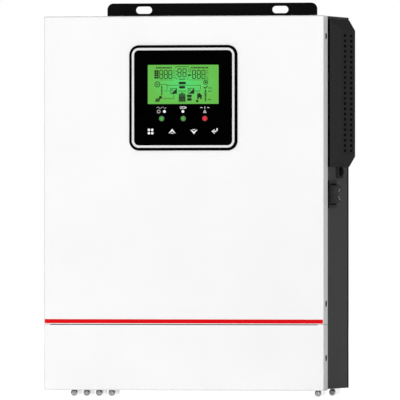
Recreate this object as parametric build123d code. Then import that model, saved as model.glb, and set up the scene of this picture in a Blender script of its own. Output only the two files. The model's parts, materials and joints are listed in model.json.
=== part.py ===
from build123d import *
import os

# A wall-hung solar inverter-charger, built from the pieces that it comes apart into.
# Millimetres. The origin is midway between the two slots of the wall bracket, on the wall's surface.
# +Z is up, +Y points into the wall, and the display faces -Y.
# In the functions below a place is (x, depth, height): depth runs back from the front cover's face,
# and height runs up from the lower cover's bottom edge.

# Housing
unit_width = 280.0              # across the flanges of the front covers
unit_height = 364.0             # bottom edge of the lower cover to top edge of the upper cover
unit_depth = 112.4              # front cover's face to the back panel's rear face
cover_sheet = 1.0               # white steel sheet
cover_fit = 0.1                 # gap between a cover's flange and the side panel in it
cover_flange = 17.0             # how far the covers' flanges reach back
cover_bend = 0.2                # inner radius of the folded edges
panel_sheet = 1.2               # charcoal steel sheet
panel_drop = 1.2                # top panel below the upper cover's top edge
panel_rise = 1.5                # bottom panel above the lower cover's bottom edge
panel_joggle = 0.9              # side, top and back panels' top edge higher behind the covers' flange
joggle_gap = 0.3                # from that flange to the start of the step
back_flange = 6.0               # how far the back panel's edges fold forward
back_seam = 0.3                 # line between a side panel and the back panel's flange
front_lip = 9.0                 # side panels' edge, folded inward behind the covers
front_gap = 1.4                 # covers' inner face to the folded edge
rail_back = 14.0                # depth of the cross rail's rear edges
rail_reach = 10.0               # cross rail above and below the seam
lip_inset = 1.0                 # side panels' front edge short of the top and bottom panels
tab_inset = 4.0                 # the same for their rear edge
end_lip_inset = 12.0            # top and bottom panels' front lips short of the side panels
past = 1.0                      # how far a cutter runs past the faces that it opens

# Seam and trim strip
seam_height = 63.45             # top edge of the lower cover
seam_gap = 0.9                  # open line between the two covers
seam_corner = 6.0               # closed stretch at each end of that line
seam_corner_gap = 0.3
stripe_height = 3.9
stripe_rise = 0.75              # strip above the upper cover's bottom edge
stripe_inset = 0.8
stripe_thickness = 0.3

# Flange screws
flange_screw_depth = 10.3
flange_screw_head = 3.2         # head radius
flange_screw_radius = 1.5
flange_screw_length = 7.0
flange_screw_slot = 0.6         # depth of the cross slot
flange_screw_slot_half = 1.9
flange_screw_inset = 20.0       # from the upper cover's ends to its screws
screw_fit = 0.1                 # radial gap round a screw in its hole

# Wall bracket and lower spacer
wall_gap = 6.6                  # back panel to wall
bracket_sheet = 2.0
bracket_width = 211.8
bracket_corner = 6.1
slot_rise = 8.2                 # slots' centre line above the upper cover's top edge
bracket_rise = 6.7              # bracket's top edge above that line
bracket_web = 16.0              # bent web below that line
bracket_leg = 30.0              # length screwed to the back panel
slot_spacing = 137.8
slot_length = 16.5
slot_width = 7.1
spacer_height = 30.0
spacer_bottom = 22.0            # above the lower cover's bottom edge
bracket_screw_radius = 2.5
bracket_screw_head = 4.5
bracket_screw_head_length = 3.0
bracket_screw_reach = 3.0       # inside the back panel
bracket_screw_spread = 160.0
bracket_rib_spread = 50.0
bracket_rib_short = 6.0         # ribs end above the leg's lower edge
spacer_foot = 14.0              # length of the spacer's flat ends

# Display
display_width = 108.2
display_height = 102.5
display_drop = 79.6             # its centre below the upper cover's top edge
display_corner = 9.7
display_proud = 1.8             # in front of the cover
rim_width = 2.7
ring_width = 2.3
ledge_width = 3.0               # what the face panel rests on
ledge_front = 0.6
display_wall = 2.0
display_tub = 12.0              # depth of the tub behind the cover's face
display_fit = 0.3
display_rim_round = 0.8
display_hooks = 28.0            # snap hooks above and below the display's centre
display_hook_width = 10.0
display_hook_catch = 1.6
display_hook_length = 5.0
display_hook_root = 0.5         # how deep a hook is let into the tub's wall
display_hook_fit = 0.15         # behind the cover's sheet
ring_recess = 0.2               # behind the rim's front
panel_recess = 0.1
lcd_width = 71.1
lcd_height = 38.0
lcd_rise = 13.0                 # window's centre above the display's
lcd_thickness = 2.8
lcd_border = 2.5                # cell beyond the window, behind the face panel
lcd_frame = 3.0                 # cell's rear face to the display board
lcd_frame_wall = 1.8
lcd_frame_fit = 0.2
lcd_shelf = 1.5                 # the frame's shelf behind the cell
lcd_shelf_width = 5.5
lamp_drop = 20.2                # lamps below the display's centre
lamp_places = (-21.4, 0.2, 21.8)
lamp_radius = 2.6
lamp_stem = 2.0                 # radius behind the face panel
lamp_dome = 0.5
board_thickness = 1.6
socket_width = 18.0             # ribbon socket on the back of the display board
socket_depth = 5.0
socket_height = 6.0
socket_drop = 39.0              # its middle below the display's centre

# Side vent covers
vent_drop = 2.9                 # its top below the upper cover's top edge
vent_length = 143.7
vent_front = 18.9               # depth of its thin front edge
vent_margin = 0.4               # its rear wall to the back panel's flange
vent_edge = 2.6                 # height of the front edge above the side panel
vent_end_edge = 2.0             # the same for the upper and lower ends
vent_proud = 8.0                # outer face beyond the side panel
vent_slope = 27.4               # depth of the front slope
vent_end_slope = 10.3
vent_wall = 1.4
vent_slot_length = 12.0
vent_slot_height = 2.8
vent_slot_pitch = 5.1
vent_slot_rows = 23
vent_slot_insets = (16.0, 42.8) # slots' centres in front of the rear wall
vent_tab_length = 24.1
vent_tab_height = 10.8
vent_tab = 1.4                  # its thickness
vent_tab_shift = 7.55           # the tab's middle behind the cover's
vent_screw_drop = 4.8           # screw below the cover's lower edge
vent_screw_head = 4.3
vent_screw_radius = 2.0
vent_screw_head_length = 3.5
vent_screw_dome = 2.0
vent_screw_reach = 4.0          # inside the side panel
vent_slot_cut = 1.1             # depth of the cross slot
vent_slot_half = 2.6
slot_blade = 1.0                # width of a screw's cross slot
vent_hook_length = 8.0
vent_hook_rise = 3.0            # above the start of the cover's end slope
vent_hook_catch = 2.8           # how far a hook reaches up behind the side panel
vent_hook_gap = 0.1             # between a hook and the side panel's inner face
hook_fit = 0.3
window_columns = 4              # air openings in the side panel behind the right cover
window_rows = 6
window_bar = 3.0                # metal left between two openings
window_margin = 2.0
filter_thickness = 3.0
filter_margin = 8.0
filter_gap = 1.0                # below the hooks

# Power switch
switch_depth = 39.3             # centre of the switch
switch_drop = 26.7              # its centre below the vent cover
switch_panel_fit = 0.2
bezel_margins = (2.4, 1.65)     # beyond the switch's body: along the depth, up and down
bezel_proud = 1.4
switch_wall = 1.4
switch_chamfer = 0.5
switch_reach = 24.0             # behind the panel
switch_cavity = 10.0            # depth of the rocker's cavity behind the panel
rocker_length = 26.0
rocker_height = 19.0
rocker_side_fit = 0.4
rocker_swing_fit = 0.8
rocker_tip_spread = 7.0
rocker_tip = 6.5                # beyond the side panel
rocker_valley = 3.8
rocker_pivot = -2.0             # inside the side panel's face
rocker_crest = 0.6              # how far the tips' rounding spreads
rocker_root = 3.0               # below the pivot
rocker_root_half = 4.0
rocker_skirt = 0.5              # where the flanks start, inside the panel's face
pin_radius = 1.2
pin_fit = 0.05
pin_length = 1.1
pin_end_gap = 0.1
blade_length = 9.0
blade_width = 4.8
blade_thickness = 0.8
blade_spread = (14.0, 12.0)     # along the depth, up and down

# Fans
fan_size = 60.0
fan_thickness = 25.0
fan_bore = 28.0                 # radius
fan_hub = 13.0
fan_gap = 4.0                   # between the two fans
fan_shaft = 1.5
fan_shaft_fit = 0.05
fan_tip_gap = 1.0
fan_blades = 7
fan_strut = 2.5
fan_strut_depth = 4.0
fan_corner = 4.0
fan_front_gap = 2.0             # rotor to the frame's outer face
fan_motor_gap = 1.0             # rotor to the motor post
fan_hub_round = 1.5
fan_blade_thickness = 1.8
fan_root_angle = 38.0
fan_tip_angle = 58.0
fan_blade_trim = 3.0            # a blade's root narrower, and its tip wider, than the rotor's depth
fan_screw_reach = 8.0
fan_screw_head = 1.6
guard_bar = 2.0
fan_hole_spread = 50.0
fan_depth = 60.0
fan_guard = 16.0                # spacing of the guard bars over a fan

# Power electronics
board_side_gap = 2.7            # power board's edge to the fans
board_bottom = 24.0
board_drop = 12.0               # its top edge below the upper cover's top edge
board_back_gap = 12.2           # its rear face to the back panel
post_edge = 6.0                 # posts' centres from the board's edges
post_radius = 3.5
board_screw_radius = 1.5
board_screw_head = 2.9
board_screw_head_length = 2.0
board_screw_reach = 5.0
post_thread = 6.0               # depth of a post's threaded hole
sink_side_gap = 8.0             # from the sinks' ends to the board's edges
sink_base = 5.0
sink_fin = 1.6
sink_fin_height = 36.0
sink_fins = 8
sink_fin_margin = 2.0
sink_depth = 52.0
sink_aisle = 39.0               # between the two sinks' bases
transistor_width = 16.0
transistor_height = 21.0
transistor_thickness = 5.0
transistor_pitch = 23.0
transistor_lead = 8.0
transistors = 8                 # on each sink
lead_steps = (3.0, 8.0, 13.0)
lead_width = 1.2
lead_thickness = 1.0
port_half = 6.5
earth_radius = 2.5
earth_place = -12.0

# Parts on the power board, placed from its left or right edge and by height
core_place = (4.0, 130.0)       # from the board's left edge, height of the lower limb
core_size = (54.0, 44.0, 70.0)
core_limb = 11.0
core_middle = 20.0
core_lift = 4.0                 # core to board
winding_fit = 0.2
winding_proud = 7.0             # beyond the core's front
winding_round = 5.0
choke_places = (-28.0, 44.0)
choke_height = 170.0
choke_radius = 23.0
choke_bore = 10.0
choke_width = 22.0
choke_round = 4.0
choke_base = 2.0
choke_base_half = 18.4
capacitors = 4
capacitor_round = 1.5
capacitor_edge = 18.0
capacitor_pitch = 32.0
capacitor_height = 106.0
capacitor_radius = 14.0
capacitor_length = 48.0
relay_edge = 4.0
relay_pitch = 20.0
relay_size = (16.0, 26.0, 20.0)
relay_low = 64.0
relay_count = 4
card_edge = 24.0
card_depth = 54.0
card_low = 134.0
card_height = 74.0
header_size = (4.0, 8.0)        # the card's header on the power board
header_inset = 10.0
chip_size = (1.2, 14.0)
chip_place = (24.0, 30.0)       # from the power board, above the card's lower edge
card_socket = (6.0, 6.0, 20.0)
card_socket_inset = (2.0, 6.0)  # from the card's front and top edges
ribbon_width = 14.0
ribbon_thickness = 0.8
ribbon_lead = 9.0               # straight part behind the display
ribbon_turn = 8.0               # last corner to the card's socket
ribbon_bend = 2.5
terminal_low = 34.0
terminal_edge = 6.0             # first block from the board's left edge
terminal_second = 64.0          # second block from the first
terminal_depth = 26.0
terminal_height = 18.0
terminal_ways = (6, 2)
terminal_pitches = (9.5, 11.0)
chamber_start = 8.0             # wire chambers behind the block's front
chamber_depth = 10.0
chamber_height = 12.0
chamber_share = 0.68            # of the pitch
funnel_share = 0.3              # screw funnel's radius over the pitch
funnel_rise = 8.0
terminal_screw_sunk = 2.5
terminal_screw_head = 4.0
terminal_screw_shank = 1.5
terminal_screw_length = 8.0
terminal_screw_fit = 0.1
battery_edge = 20.0             # right stud from the board's right edge
battery_spread = 36.0
battery_post_height = 62.0
battery_stud = 4.0              # radius
battery_stud_length = 22.0
battery_foot = 6.0              # thickness of a stud's square foot
battery_foot_half = 8.0
battery_base_depth = 28.0
battery_base_margin = 14.0
battery_wall = 3.0              # wall between the studs
battery_wall_reach = 20.0
washer_radius = 9.0
washer_thickness = 0.5
nut_radius = 7.5
nut_length = 6.5
nut_fit = 0.02
fuse_size = (20.0, 12.0, 24.0)
fuse_strip = (12.0, 2.0, 44.0)
fuse_strip_rise = 6.0           # strip in front of the board
fuse_rise = 18.0                # strip's lower end above the studs
fuse_foot = 4.0

# Bottom entries
entry_depth = 62.0
ac_entries = (-108.0, -83.0)
ac_entry_radius = 6.0
pv_entries = (-50.0, -26.0)
pv_entry_radius = 5.0
battery_entries = (72.0, 106.0)
battery_entry_radius = 9.0
grommet_wall = 2.2
grommet_lip = 1.4
grommet_lip_reach = 2.0
grommet_groove_fit = 0.05

# Clamp screws under the bottom
clamp_front = 20.0              # depth of the heads
clamp_row = (-115.2, -102.6, -90.1, -77.4)
clamp_right = 129.3
clamp_right_depths = (20.0, 81.0)
clamp_drop = 2.7                # screw axis below the lower cover's bottom edge
clamp_head_radius = 3.2
clamp_head_length = 2.6
clamp_shank_radius = 1.5
clamp_reach = 12.0
clamp_slot = 0.8
clamp_slot_half = 2.1
clamp_slot_depth = 0.9
clamp_head_round = 1.6
lug_length = 22.0
lug_width = 5.0
lug_floor = 0.6                 # under the screw's hole
lug_round = 1.6

# Reset breaker and ports
breaker_place = 2.0             # x of its centre
breaker_radius = 6.0
breaker_body = 14.0
breaker_half = 8.0
breaker_collar = 2.0            # wider than the neck
breaker_collar_length = 1.0
breaker_bore = 8.0              # button's bore above the bottom panel
button_radius = 3.2
button_fit = 0.1
button_proud = 0.3
button_travel = 2.0
button_end_gap = 0.5
button_round = 0.8
port_places = (26.0, 44.0)
port_fit = 0.3
port_wall = 1.2
port_flange = 1.5
port_flange_thickness = 2.0
port_proud = 0.6
port_depth = 10.0               # cavity above the bottom panel
port_roof = 3.0
port_tongue = (6.0, 2.0)
port_tongue_place = 1.0
earth_length = 10.0
earth_head = 1.4
earth_head_over = 1.9           # head's and nut's radius over the screw's
earth_nut_length = 4.0

side_face = unit_width / 2 - cover_sheet - cover_fit     # outer face of a side panel
side_inner = side_face - panel_sheet
panel_top = unit_height - panel_drop
raised_top = panel_top + panel_joggle
joggle_start = cover_flange + joggle_gap
joggle_end = joggle_start + panel_joggle
panel_back = unit_depth - back_flange                    # where the side panels stop
panel_front = cover_sheet + front_gap
inner_back = unit_depth - panel_sheet
seam_top = seam_height + seam_gap
bottom_top = panel_rise + panel_sheet                    # upper side of the bottom panel
upper_screw_heights = (seam_top + flange_screw_inset, unit_height - flange_screw_inset)
lower_screw_heights = (seam_height / 2,)
display_middle = unit_height - display_drop
lcd_middle = display_middle + lcd_rise
lamp_height = display_middle - lamp_drop
vent_top = unit_height - vent_drop
vent_bottom = vent_top - vent_length
vent_middle = vent_top - vent_length / 2
vent_back = panel_back - vent_margin
vent_slot_depths = [vent_back - inset for inset in vent_slot_insets]
vent_tab_middle = (vent_front + vent_back) / 2 + vent_tab_shift
vent_screw_height = vent_bottom - vent_screw_drop
vent_hook_height = vent_top - vent_end_slope + vent_hook_rise
switch_height = vent_bottom - switch_drop
fan_heights = (vent_middle - (fan_size + fan_gap) / 2, vent_middle + (fan_size + fan_gap) / 2)
board_half = side_inner - fan_thickness - board_side_gap
board_front = inner_back - board_back_gap - board_thickness     # the power board's front face
board_top = unit_height - board_drop
sink_ends = (-board_half + sink_side_gap, board_half - sink_side_gap)
upper_sink_base = vent_middle + sink_aisle / 2
lower_sink_base = vent_middle - sink_aisle / 2


def y_at(depth):
    """The Y of a depth behind the front cover's face."""
    return depth - unit_depth - wall_gap


def z_at(height):
    """The Z of a height above the lower cover's bottom edge."""
    return height - unit_height - slot_rise


def block(x, depth, height):
    """A box between pairs of places."""
    size = (x[1] - x[0], depth[1] - depth[0], height[1] - height[0])
    corner = Location((x[0], y_at(depth[0]), z_at(height[0])))
    return corner * Box(*size, align=(Align.MIN, Align.MIN, Align.MIN))


def rod_x(radius, depth, height, ends):
    """A round bar along X."""
    bar = Cylinder(radius, ends[1] - ends[0], align=(Align.CENTER, Align.CENTER, Align.MIN))
    return Location((ends[0], y_at(depth), z_at(height)), (0, 90, 0)) * bar


def rod_y(radius, x, height, ends):
    """A round bar along Y."""
    bar = Cylinder(radius, ends[1] - ends[0], align=(Align.CENTER, Align.CENTER, Align.MIN))
    return Location((x, y_at(ends[0]), z_at(height)), (-90, 0, 0)) * bar


def rod_z(radius, x, depth, ends):
    """A round bar along Z."""
    bar = Cylinder(radius, ends[1] - ends[0], align=(Align.CENTER, Align.CENTER, Align.MIN))
    return Location((x, y_at(depth), z_at(ends[0]))) * bar


def front_plate(width, height, corner, middle, ends, x=0.0):
    """A plate facing the front, with rounded corners, between two depths."""
    outline = RectangleRounded(width, height, corner)
    plane = Plane((x, y_at(ends[0]), z_at(middle)), x_dir=(1, 0, 0), z_dir=(0, -1, 0))
    return extrude(plane * outline, -(ends[1] - ends[0]))


def side_profile(points, depths):
    """A solid whose section across the depth is a polygon of (x, height) points."""
    corners = [(x, z_at(height)) for x, height in points]
    face = make_face(Plane.XZ * Polyline(*corners, close=True))
    return Location((0, y_at(depths[0]), 0)) * extrude(face, -(depths[1] - depths[0]))


def end_profile(points, ends):
    """A solid whose section across X is a polygon of (depth, height) points."""
    corners = [(y_at(depth), z_at(height)) for depth, height in points]
    face = make_face(Plane.YZ * Polyline(*corners, close=True))
    return Location((ends[0], 0, 0)) * extrude(face, ends[1] - ends[0], dir=(1, 0, 0))


def cross_slot(depth, height, cut, half):
    """The cross slot of a screw that faces along X, as two bars."""
    thin = slot_blade / 2
    return [block(cut, (depth - thin, depth + thin), (height - half, height + half)),
            block(cut, (depth - half, depth + half), (height - thin, height + thin))]


def mirrored(shape):
    """The same shape on the other side of the unit."""
    return mirror(shape, about=Plane.YZ)


def both_sides(shape):
    """A shape and its mirror image, as separate solids."""
    return Compound([shape, mirrored(shape)])


def group(shapes):
    """Separate solids kept together as one node."""
    return Compound([solid for shape in shapes for solid in shape.solids()])


# ---------------------------------------------------------------- front covers

def flange_screw(height):
    """A countersunk screw lying flush in a cover's side flange, on the right side."""
    outer = unit_width / 2
    head = Cone(flange_screw_radius, flange_screw_head, cover_sheet)
    head = Location((outer - cover_sheet / 2, y_at(flange_screw_depth), z_at(height)), (0, 90, 0)) * head
    shank = rod_x(flange_screw_radius, flange_screw_depth, height,
                  (outer - flange_screw_length, outer - cover_sheet / 2))
    cut = (outer - flange_screw_slot, outer + past)
    return head + shank - cross_slot(flange_screw_depth, height, cut, flange_screw_slot_half)


def flange_screw_holes(heights):
    """What the covers and side panels lose to the flange screws, on the right side."""
    outer = unit_width / 2
    cuts = []
    for height in heights:
        sink = Cone(flange_screw_radius + screw_fit, flange_screw_head + screw_fit, cover_sheet)
        place = Location((outer - cover_sheet / 2, y_at(flange_screw_depth), z_at(height)), (0, 90, 0))
        bore = rod_x(flange_screw_radius + screw_fit, flange_screw_depth, height,
                     (outer - flange_screw_length - 1, outer))
        cuts += [place * sink, bore]
    return cuts


def folded_cover(low, high, closed_top):
    """A front sheet with side flanges and one more flange at its top or bottom."""
    half = unit_width / 2
    outer = block((-half, half), (0, cover_flange), (low, high))
    front = outer.edges().filter_by_position(Axis.Y, y_at(0), y_at(0))
    ends = outer.edges().filter_by(Axis.Y)
    limit = high if closed_top else low
    folded = [e for e in front if abs(e.center().Z - z_at(low + high - limit)) > 0.01]
    folded += [e for e in ends if abs(e.center().Z - z_at(limit)) < 0.01]
    outer = fillet(folded, cover_bend + cover_sheet)
    inner_low = low - 1 if closed_top else low + cover_sheet
    inner_high = high - cover_sheet if closed_top else high + 1
    inner = block((-half + cover_sheet, half - cover_sheet), (cover_sheet, cover_flange + 1),
                  (inner_low, inner_high))
    front = inner.edges().filter_by_position(Axis.Y, y_at(cover_sheet), y_at(cover_sheet))
    ends = inner.edges().filter_by(Axis.Y)
    inner_limit = inner_high if closed_top else inner_low
    open_side = inner_low if closed_top else inner_high
    folded = [e for e in front if abs(e.center().Z - z_at(open_side)) > 0.01]
    folded += [e for e in ends if abs(e.center().Z - z_at(inner_limit)) < 0.01]
    return outer - fillet(folded, cover_bend)


def upper_cover():
    cover = folded_cover(seam_top, unit_height, True)
    cutout = front_plate(display_width - 2 * rim_width, display_height - 2 * rim_width,
                         display_corner - rim_width, display_middle, (-past, cover_sheet + past))
    cover -= cutout
    for cut in flange_screw_holes(upper_screw_heights):
        cover -= cut
        cover -= mirrored(cut)
    return cover


def lower_cover():
    half = unit_width / 2
    cover = folded_cover(0, seam_top - seam_corner_gap, False)
    cover -= block((-half + seam_corner, half - seam_corner), (-1, cover_sheet),
                   (seam_height, seam_top + 1))
    for cut in flange_screw_holes(lower_screw_heights):
        cover -= cut
        cover -= mirrored(cut)
    return cover


def red_stripe():
    half = unit_width / 2 - stripe_inset
    low = seam_top + stripe_rise
    return block((-half, half), (-stripe_thickness, 0), (low, low + stripe_height))


def flange_screws(heights):
    return group([both_sides(flange_screw(height)) for height in heights])


# ---------------------------------------------------------------- housing

def windows(first, last, count):
    """Start and end of each of a row of openings, with bars between them."""
    pitch = (last - first) / count
    half = window_bar / 2
    return [(first + i * pitch + half, first + (i + 1) * pitch - half) for i in range(count)]


def air_window_depths():
    """Depths of the side panel's air openings, inside the vent cover."""
    return windows(vent_front + filter_margin, vent_back - filter_margin, window_columns)


def air_window_heights():
    """Heights of the side panel's air openings, inside the vent cover."""
    inset = vent_end_slope + window_margin
    return windows(vent_bottom + inset, vent_top - inset, window_rows)


def side_panel_blank():
    """The right side panel before its own openings."""
    rear = panel_back - back_seam
    outline = [(panel_front, panel_rise), (rear, panel_rise), (rear, raised_top)]
    outline += [(joggle_end, raised_top), (joggle_start, panel_top), (panel_front, panel_top)]
    panel = end_profile(outline, (side_inner, side_face))
    panel += block((side_face - front_lip, side_inner), (panel_front, panel_front + panel_sheet),
                   (bottom_top + lip_inset, panel_top - panel_sheet - lip_inset))
    rear_tab = block((side_inner - panel_sheet, side_inner), (panel_back - back_flange, inner_back),
                     (bottom_top + tab_inset, panel_top - panel_sheet - tab_inset))
    panel += rear_tab
    for cut in flange_screw_holes(upper_screw_heights + lower_screw_heights):
        panel -= cut
    hook_top = vent_hook_height + vent_wall + vent_hook_catch
    for depth in vent_hook_depths(hook_fit):
        panel -= block((side_inner - past, side_face + past), depth,
                       (vent_hook_height - hook_fit, hook_top + hook_fit))
    return panel - rod_x(vent_screw_radius + screw_fit, vent_tab_middle, vent_screw_height,
                         (side_inner - past, side_face + past))


def vent_hook_depths(gap=0.0):
    """Where the vent cover's two hooks pass through the side panel."""
    half = vent_hook_length / 2 + gap
    return [(middle - half, middle + half) for middle in vent_slot_depths]


def side_panel_right():
    panel = side_panel_blank()
    for depth in air_window_depths():
        for height in air_window_heights():
            panel -= block((side_inner - past, side_face + past), depth, height)
    half_length = switch_half_length() + switch_panel_fit
    half_height = switch_half_height() + switch_panel_fit
    panel -= block((side_inner - past, side_face + past),
                   (switch_depth - half_length, switch_depth + half_length),
                   (switch_height - half_height, switch_height + half_height))
    return panel


def fan_holes(height):
    """Centres of a fan's four screws, as (depth, height)."""
    half = fan_hole_spread / 2
    return [(fan_depth + i * half, height + j * half) for i in (-1, 1) for j in (-1, 1)]


def side_panel_left():
    panel = side_panel_blank()
    for height in fan_heights:
        across, span = (side_inner - past, side_face + past), (-fan_bore, fan_bore)
        ring = rod_x(fan_bore, fan_depth, height, across)
        steps = (-fan_guard - guard_bar / 2, -guard_bar / 2, fan_guard - guard_bar / 2)
        bars = [block(across, (fan_depth + span[0], fan_depth + span[1]),
                      (height + step, height + step + guard_bar)) for step in steps]
        bars += [block(across, (fan_depth + step, fan_depth + step + guard_bar),
                       (height + span[0], height + span[1])) for step in steps]
        for bar in bars:
            ring -= bar
        panel -= ring
        for depth, level in fan_holes(height):
            panel -= rod_x(board_screw_radius + screw_fit, depth, level, across)
    return mirrored(panel)


def back_panel():
    panel = block((-side_face, side_face), (panel_back, unit_depth), (panel_rise, raised_top))
    panel -= block((-side_inner, side_inner), (panel_back - 1, inner_back),
                   (bottom_top, raised_top - panel_sheet))
    for x, height in bracket_screw_places() + spacer_screw_places():
        panel -= rod_y(bracket_screw_radius + screw_fit, x, height, (inner_back - past, unit_depth + past))
    return panel


def top_panel():
    half = side_inner
    line = [(panel_front, panel_top), (joggle_start, panel_top), (joggle_end, raised_top)]
    line += [(panel_back, raised_top)]
    under = [(depth, height - panel_sheet) for depth, height in reversed(line)]
    panel = end_profile(line + under, (-half, half))
    lip = block((-half + end_lip_inset, half - end_lip_inset), (panel_front, panel_front + panel_sheet),
                (panel_top - front_lip, panel_top - panel_sheet))
    return panel + lip


def bottom_panel():
    half = side_inner
    panel = block((-half, half), (panel_front, panel_back), (panel_rise, bottom_top))
    panel += block((-half + end_lip_inset, half - end_lip_inset), (panel_front, panel_front + panel_sheet),
                   (bottom_top, bottom_top + front_lip))
    through = (panel_rise - past, bottom_top + past)
    for places, radius in entry_rows():
        for x in places:
            panel -= rod_z(radius + grommet_wall + grommet_groove_fit, x, entry_depth, through)
    panel -= rod_z(breaker_radius + screw_fit, breaker_place, entry_depth, through)
    for x in port_places:
        room = port_half + port_fit
        panel -= block((x - room, x + room), (entry_depth - room, entry_depth + room), through)
    panel -= rod_z(earth_radius + screw_fit, earth_place, entry_depth, through)
    return panel


def front_rail():
    """The cross rail behind the seam: a channel open to the rear, welded to the side panels' edges."""
    depth = (panel_front + panel_sheet, rail_back)
    heights = (seam_height - rail_reach, seam_top + rail_reach)
    rail = block((-side_inner, side_inner), depth, heights)
    return rail - block((-side_inner - past, side_inner + past), (depth[0] + panel_sheet, depth[1] + past),
                        (heights[0] + panel_sheet, heights[1] - panel_sheet))


# ---------------------------------------------------------------- wall side

def bracket_leg_top():
    return unit_height + slot_rise - bracket_web


def bracket_screw_places():
    """Centres of the bracket's screws, as (x, height)."""
    leg = bracket_leg_top() - bracket_leg / 2
    return [(-bracket_screw_spread / 2, leg), (bracket_screw_spread / 2, leg)]


def spacer_screw_places():
    """Centres of the lower spacer's screws, as (x, height)."""
    x = (bracket_width - spacer_foot) / 2
    return [(-x, spacer_bottom + spacer_height / 2), (x, spacer_bottom + spacer_height / 2)]


def wall_bracket():
    half = bracket_width / 2
    line = unit_height + slot_rise
    wall = (unit_depth + wall_gap - bracket_sheet, unit_depth + wall_gap)
    low = bracket_leg_top()
    flange_height = bracket_rise + bracket_web
    plate = front_plate(bracket_width, 2 * flange_height, bracket_corner,
                        line + bracket_rise - flange_height, wall)
    plate -= block((-half - past, half + past), (wall[0] - past, wall[1] + past), (0, low))
    web = block((-half, half), (unit_depth, unit_depth + wall_gap), (low, low + bracket_sheet))
    leg = block((-half, half), (unit_depth, unit_depth + bracket_sheet), (low - bracket_leg, low))
    bracket = plate + web + leg
    rib_depth = (unit_depth + bracket_sheet, wall[0])
    for x in (-bracket_rib_spread, 0.0, bracket_rib_spread):
        corners = [(rib_depth[0], low), (rib_depth[1], low),
                   (rib_depth[0], low - bracket_leg + bracket_rib_short)]
        bracket += end_profile(corners, (x - bracket_sheet / 2, x + bracket_sheet / 2))
    for x in (-slot_spacing / 2, slot_spacing / 2):
        outline = Plane((x, 0, 0), x_dir=(1, 0, 0), z_dir=(0, -1, 0)) * SlotOverall(slot_length, slot_width)
        bracket -= extrude(outline, bracket_sheet + past, both=True)
    for x, height in bracket_screw_places():
        bracket -= rod_y(bracket_screw_radius + screw_fit, x, height,
                         (unit_depth - past, unit_depth + bracket_sheet + past))
    return bracket


def lower_spacer():
    """A hat-section channel that holds the unit's foot as far off the wall as its head."""
    half = bracket_width / 2
    crown = half - spacer_foot
    heights = (spacer_bottom, spacer_bottom + spacer_height)
    channel = block((-half, half), (unit_depth, unit_depth + bracket_sheet), heights)
    channel += block((-crown, crown), (unit_depth, unit_depth + wall_gap), heights)
    channel -= block((-crown + bracket_sheet, crown - bracket_sheet),
                     (unit_depth - 1, unit_depth + wall_gap - bracket_sheet), (0, heights[1] + 1))
    for x, height in spacer_screw_places():
        channel -= rod_y(bracket_screw_radius + screw_fit, x, height,
                         (unit_depth - past, unit_depth + bracket_sheet + past))
    return channel


def bracket_screws():
    """Pan-head screws from behind, through the bracket and the spacer into the back panel."""
    screws = []
    seat = unit_depth + bracket_sheet
    for x, height in bracket_screw_places() + spacer_screw_places():
        head = rod_y(bracket_screw_head, x, height, (seat, seat + bracket_screw_head_length))
        rim = head.edges().filter_by(GeomType.CIRCLE).sort_by(Axis.Y)[-1]
        shank = rod_y(bracket_screw_radius, x, height, (inner_back - bracket_screw_reach, seat))
        screws.append(shank + fillet(rim, bracket_screw_head_length / 2))
    return group(screws)


# ---------------------------------------------------------------- display

def display_outline(inset, ends, middle=display_middle):
    """A plate that follows the display's outline, inset all round."""
    corner = max(display_corner - inset, display_rim_round)
    return front_plate(display_width - 2 * inset, display_height - 2 * inset, corner, middle, ends)


def display_housing():
    """The black housing: a rim in front of the cover, a ledge, and a tub through the cutout."""
    rim = display_outline(0, (-display_proud, 0))
    rim = fillet(rim.faces().sort_by(Axis.Y)[0].edges(), display_rim_round)
    rim -= display_outline(rim_width, (-display_proud - past, -ledge_front))
    tub_inset = rim_width + display_fit
    tub = display_outline(tub_inset, (0, display_tub))
    tub -= display_outline(tub_inset + display_wall, (0, display_tub + 1))
    ledge_inset = rim_width + ring_width + ledge_width
    housing = rim + tub - display_outline(ledge_inset, (-display_proud - past, 1))
    for height in (display_middle - display_hooks, display_middle + display_hooks):
        hook = side_hook(display_width / 2 - tub_inset, cover_sheet + display_hook_fit, height)
        housing += hook
        housing += mirrored(hook)
    return housing


def side_hook(x, depth, height):
    """A snap hook on the tub's side, behind the cover's sheet."""
    root = x - display_hook_root
    points = [(root, depth), (x + display_hook_catch, depth), (root, depth + display_hook_length)]
    corners = [(px, y_at(d)) for px, d in points]
    face = make_face(Plane.XY * Polyline(*corners, close=True))
    return Location((0, 0, z_at(height - display_hook_width / 2))) * extrude(face, display_hook_width)


def display_ring():
    ring = display_outline(rim_width, (-display_proud + ring_recess, -ledge_front))
    return ring - display_outline(rim_width + ring_width, (-display_proud - past, 1))


def face_panel():
    panel = display_outline(rim_width + ring_width, (-display_proud + panel_recess, -ledge_front))
    panel -= front_plate(lcd_width, lcd_height, display_rim_round, lcd_middle, (-display_proud - past, 1))
    for x in lamp_places:
        panel -= rod_y(lamp_radius + screw_fit, x, lamp_height, (-display_proud - past, 1))
    return panel


def lcd_plate(margin, ends):
    """A plate that follows the display window's outline, larger all round by a margin."""
    return front_plate(lcd_width + 2 * margin, lcd_height + 2 * margin, display_rim_round, lcd_middle, ends)


def lcd_cell():
    return lcd_plate(lcd_border, (-ledge_front, lcd_thickness - ledge_front))


def lcd_frame_part():
    back = lcd_thickness - ledge_front
    room = lcd_border + lcd_frame_fit
    frame = lcd_plate(room + lcd_frame_wall, (-ledge_front, display_board_front()))
    frame -= lcd_plate(room, (-display_proud, back))
    return frame - lcd_plate(lcd_border - lcd_shelf_width, (back + lcd_shelf, display_tub))


def display_board_front():
    return lcd_thickness - ledge_front + lcd_frame


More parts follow.
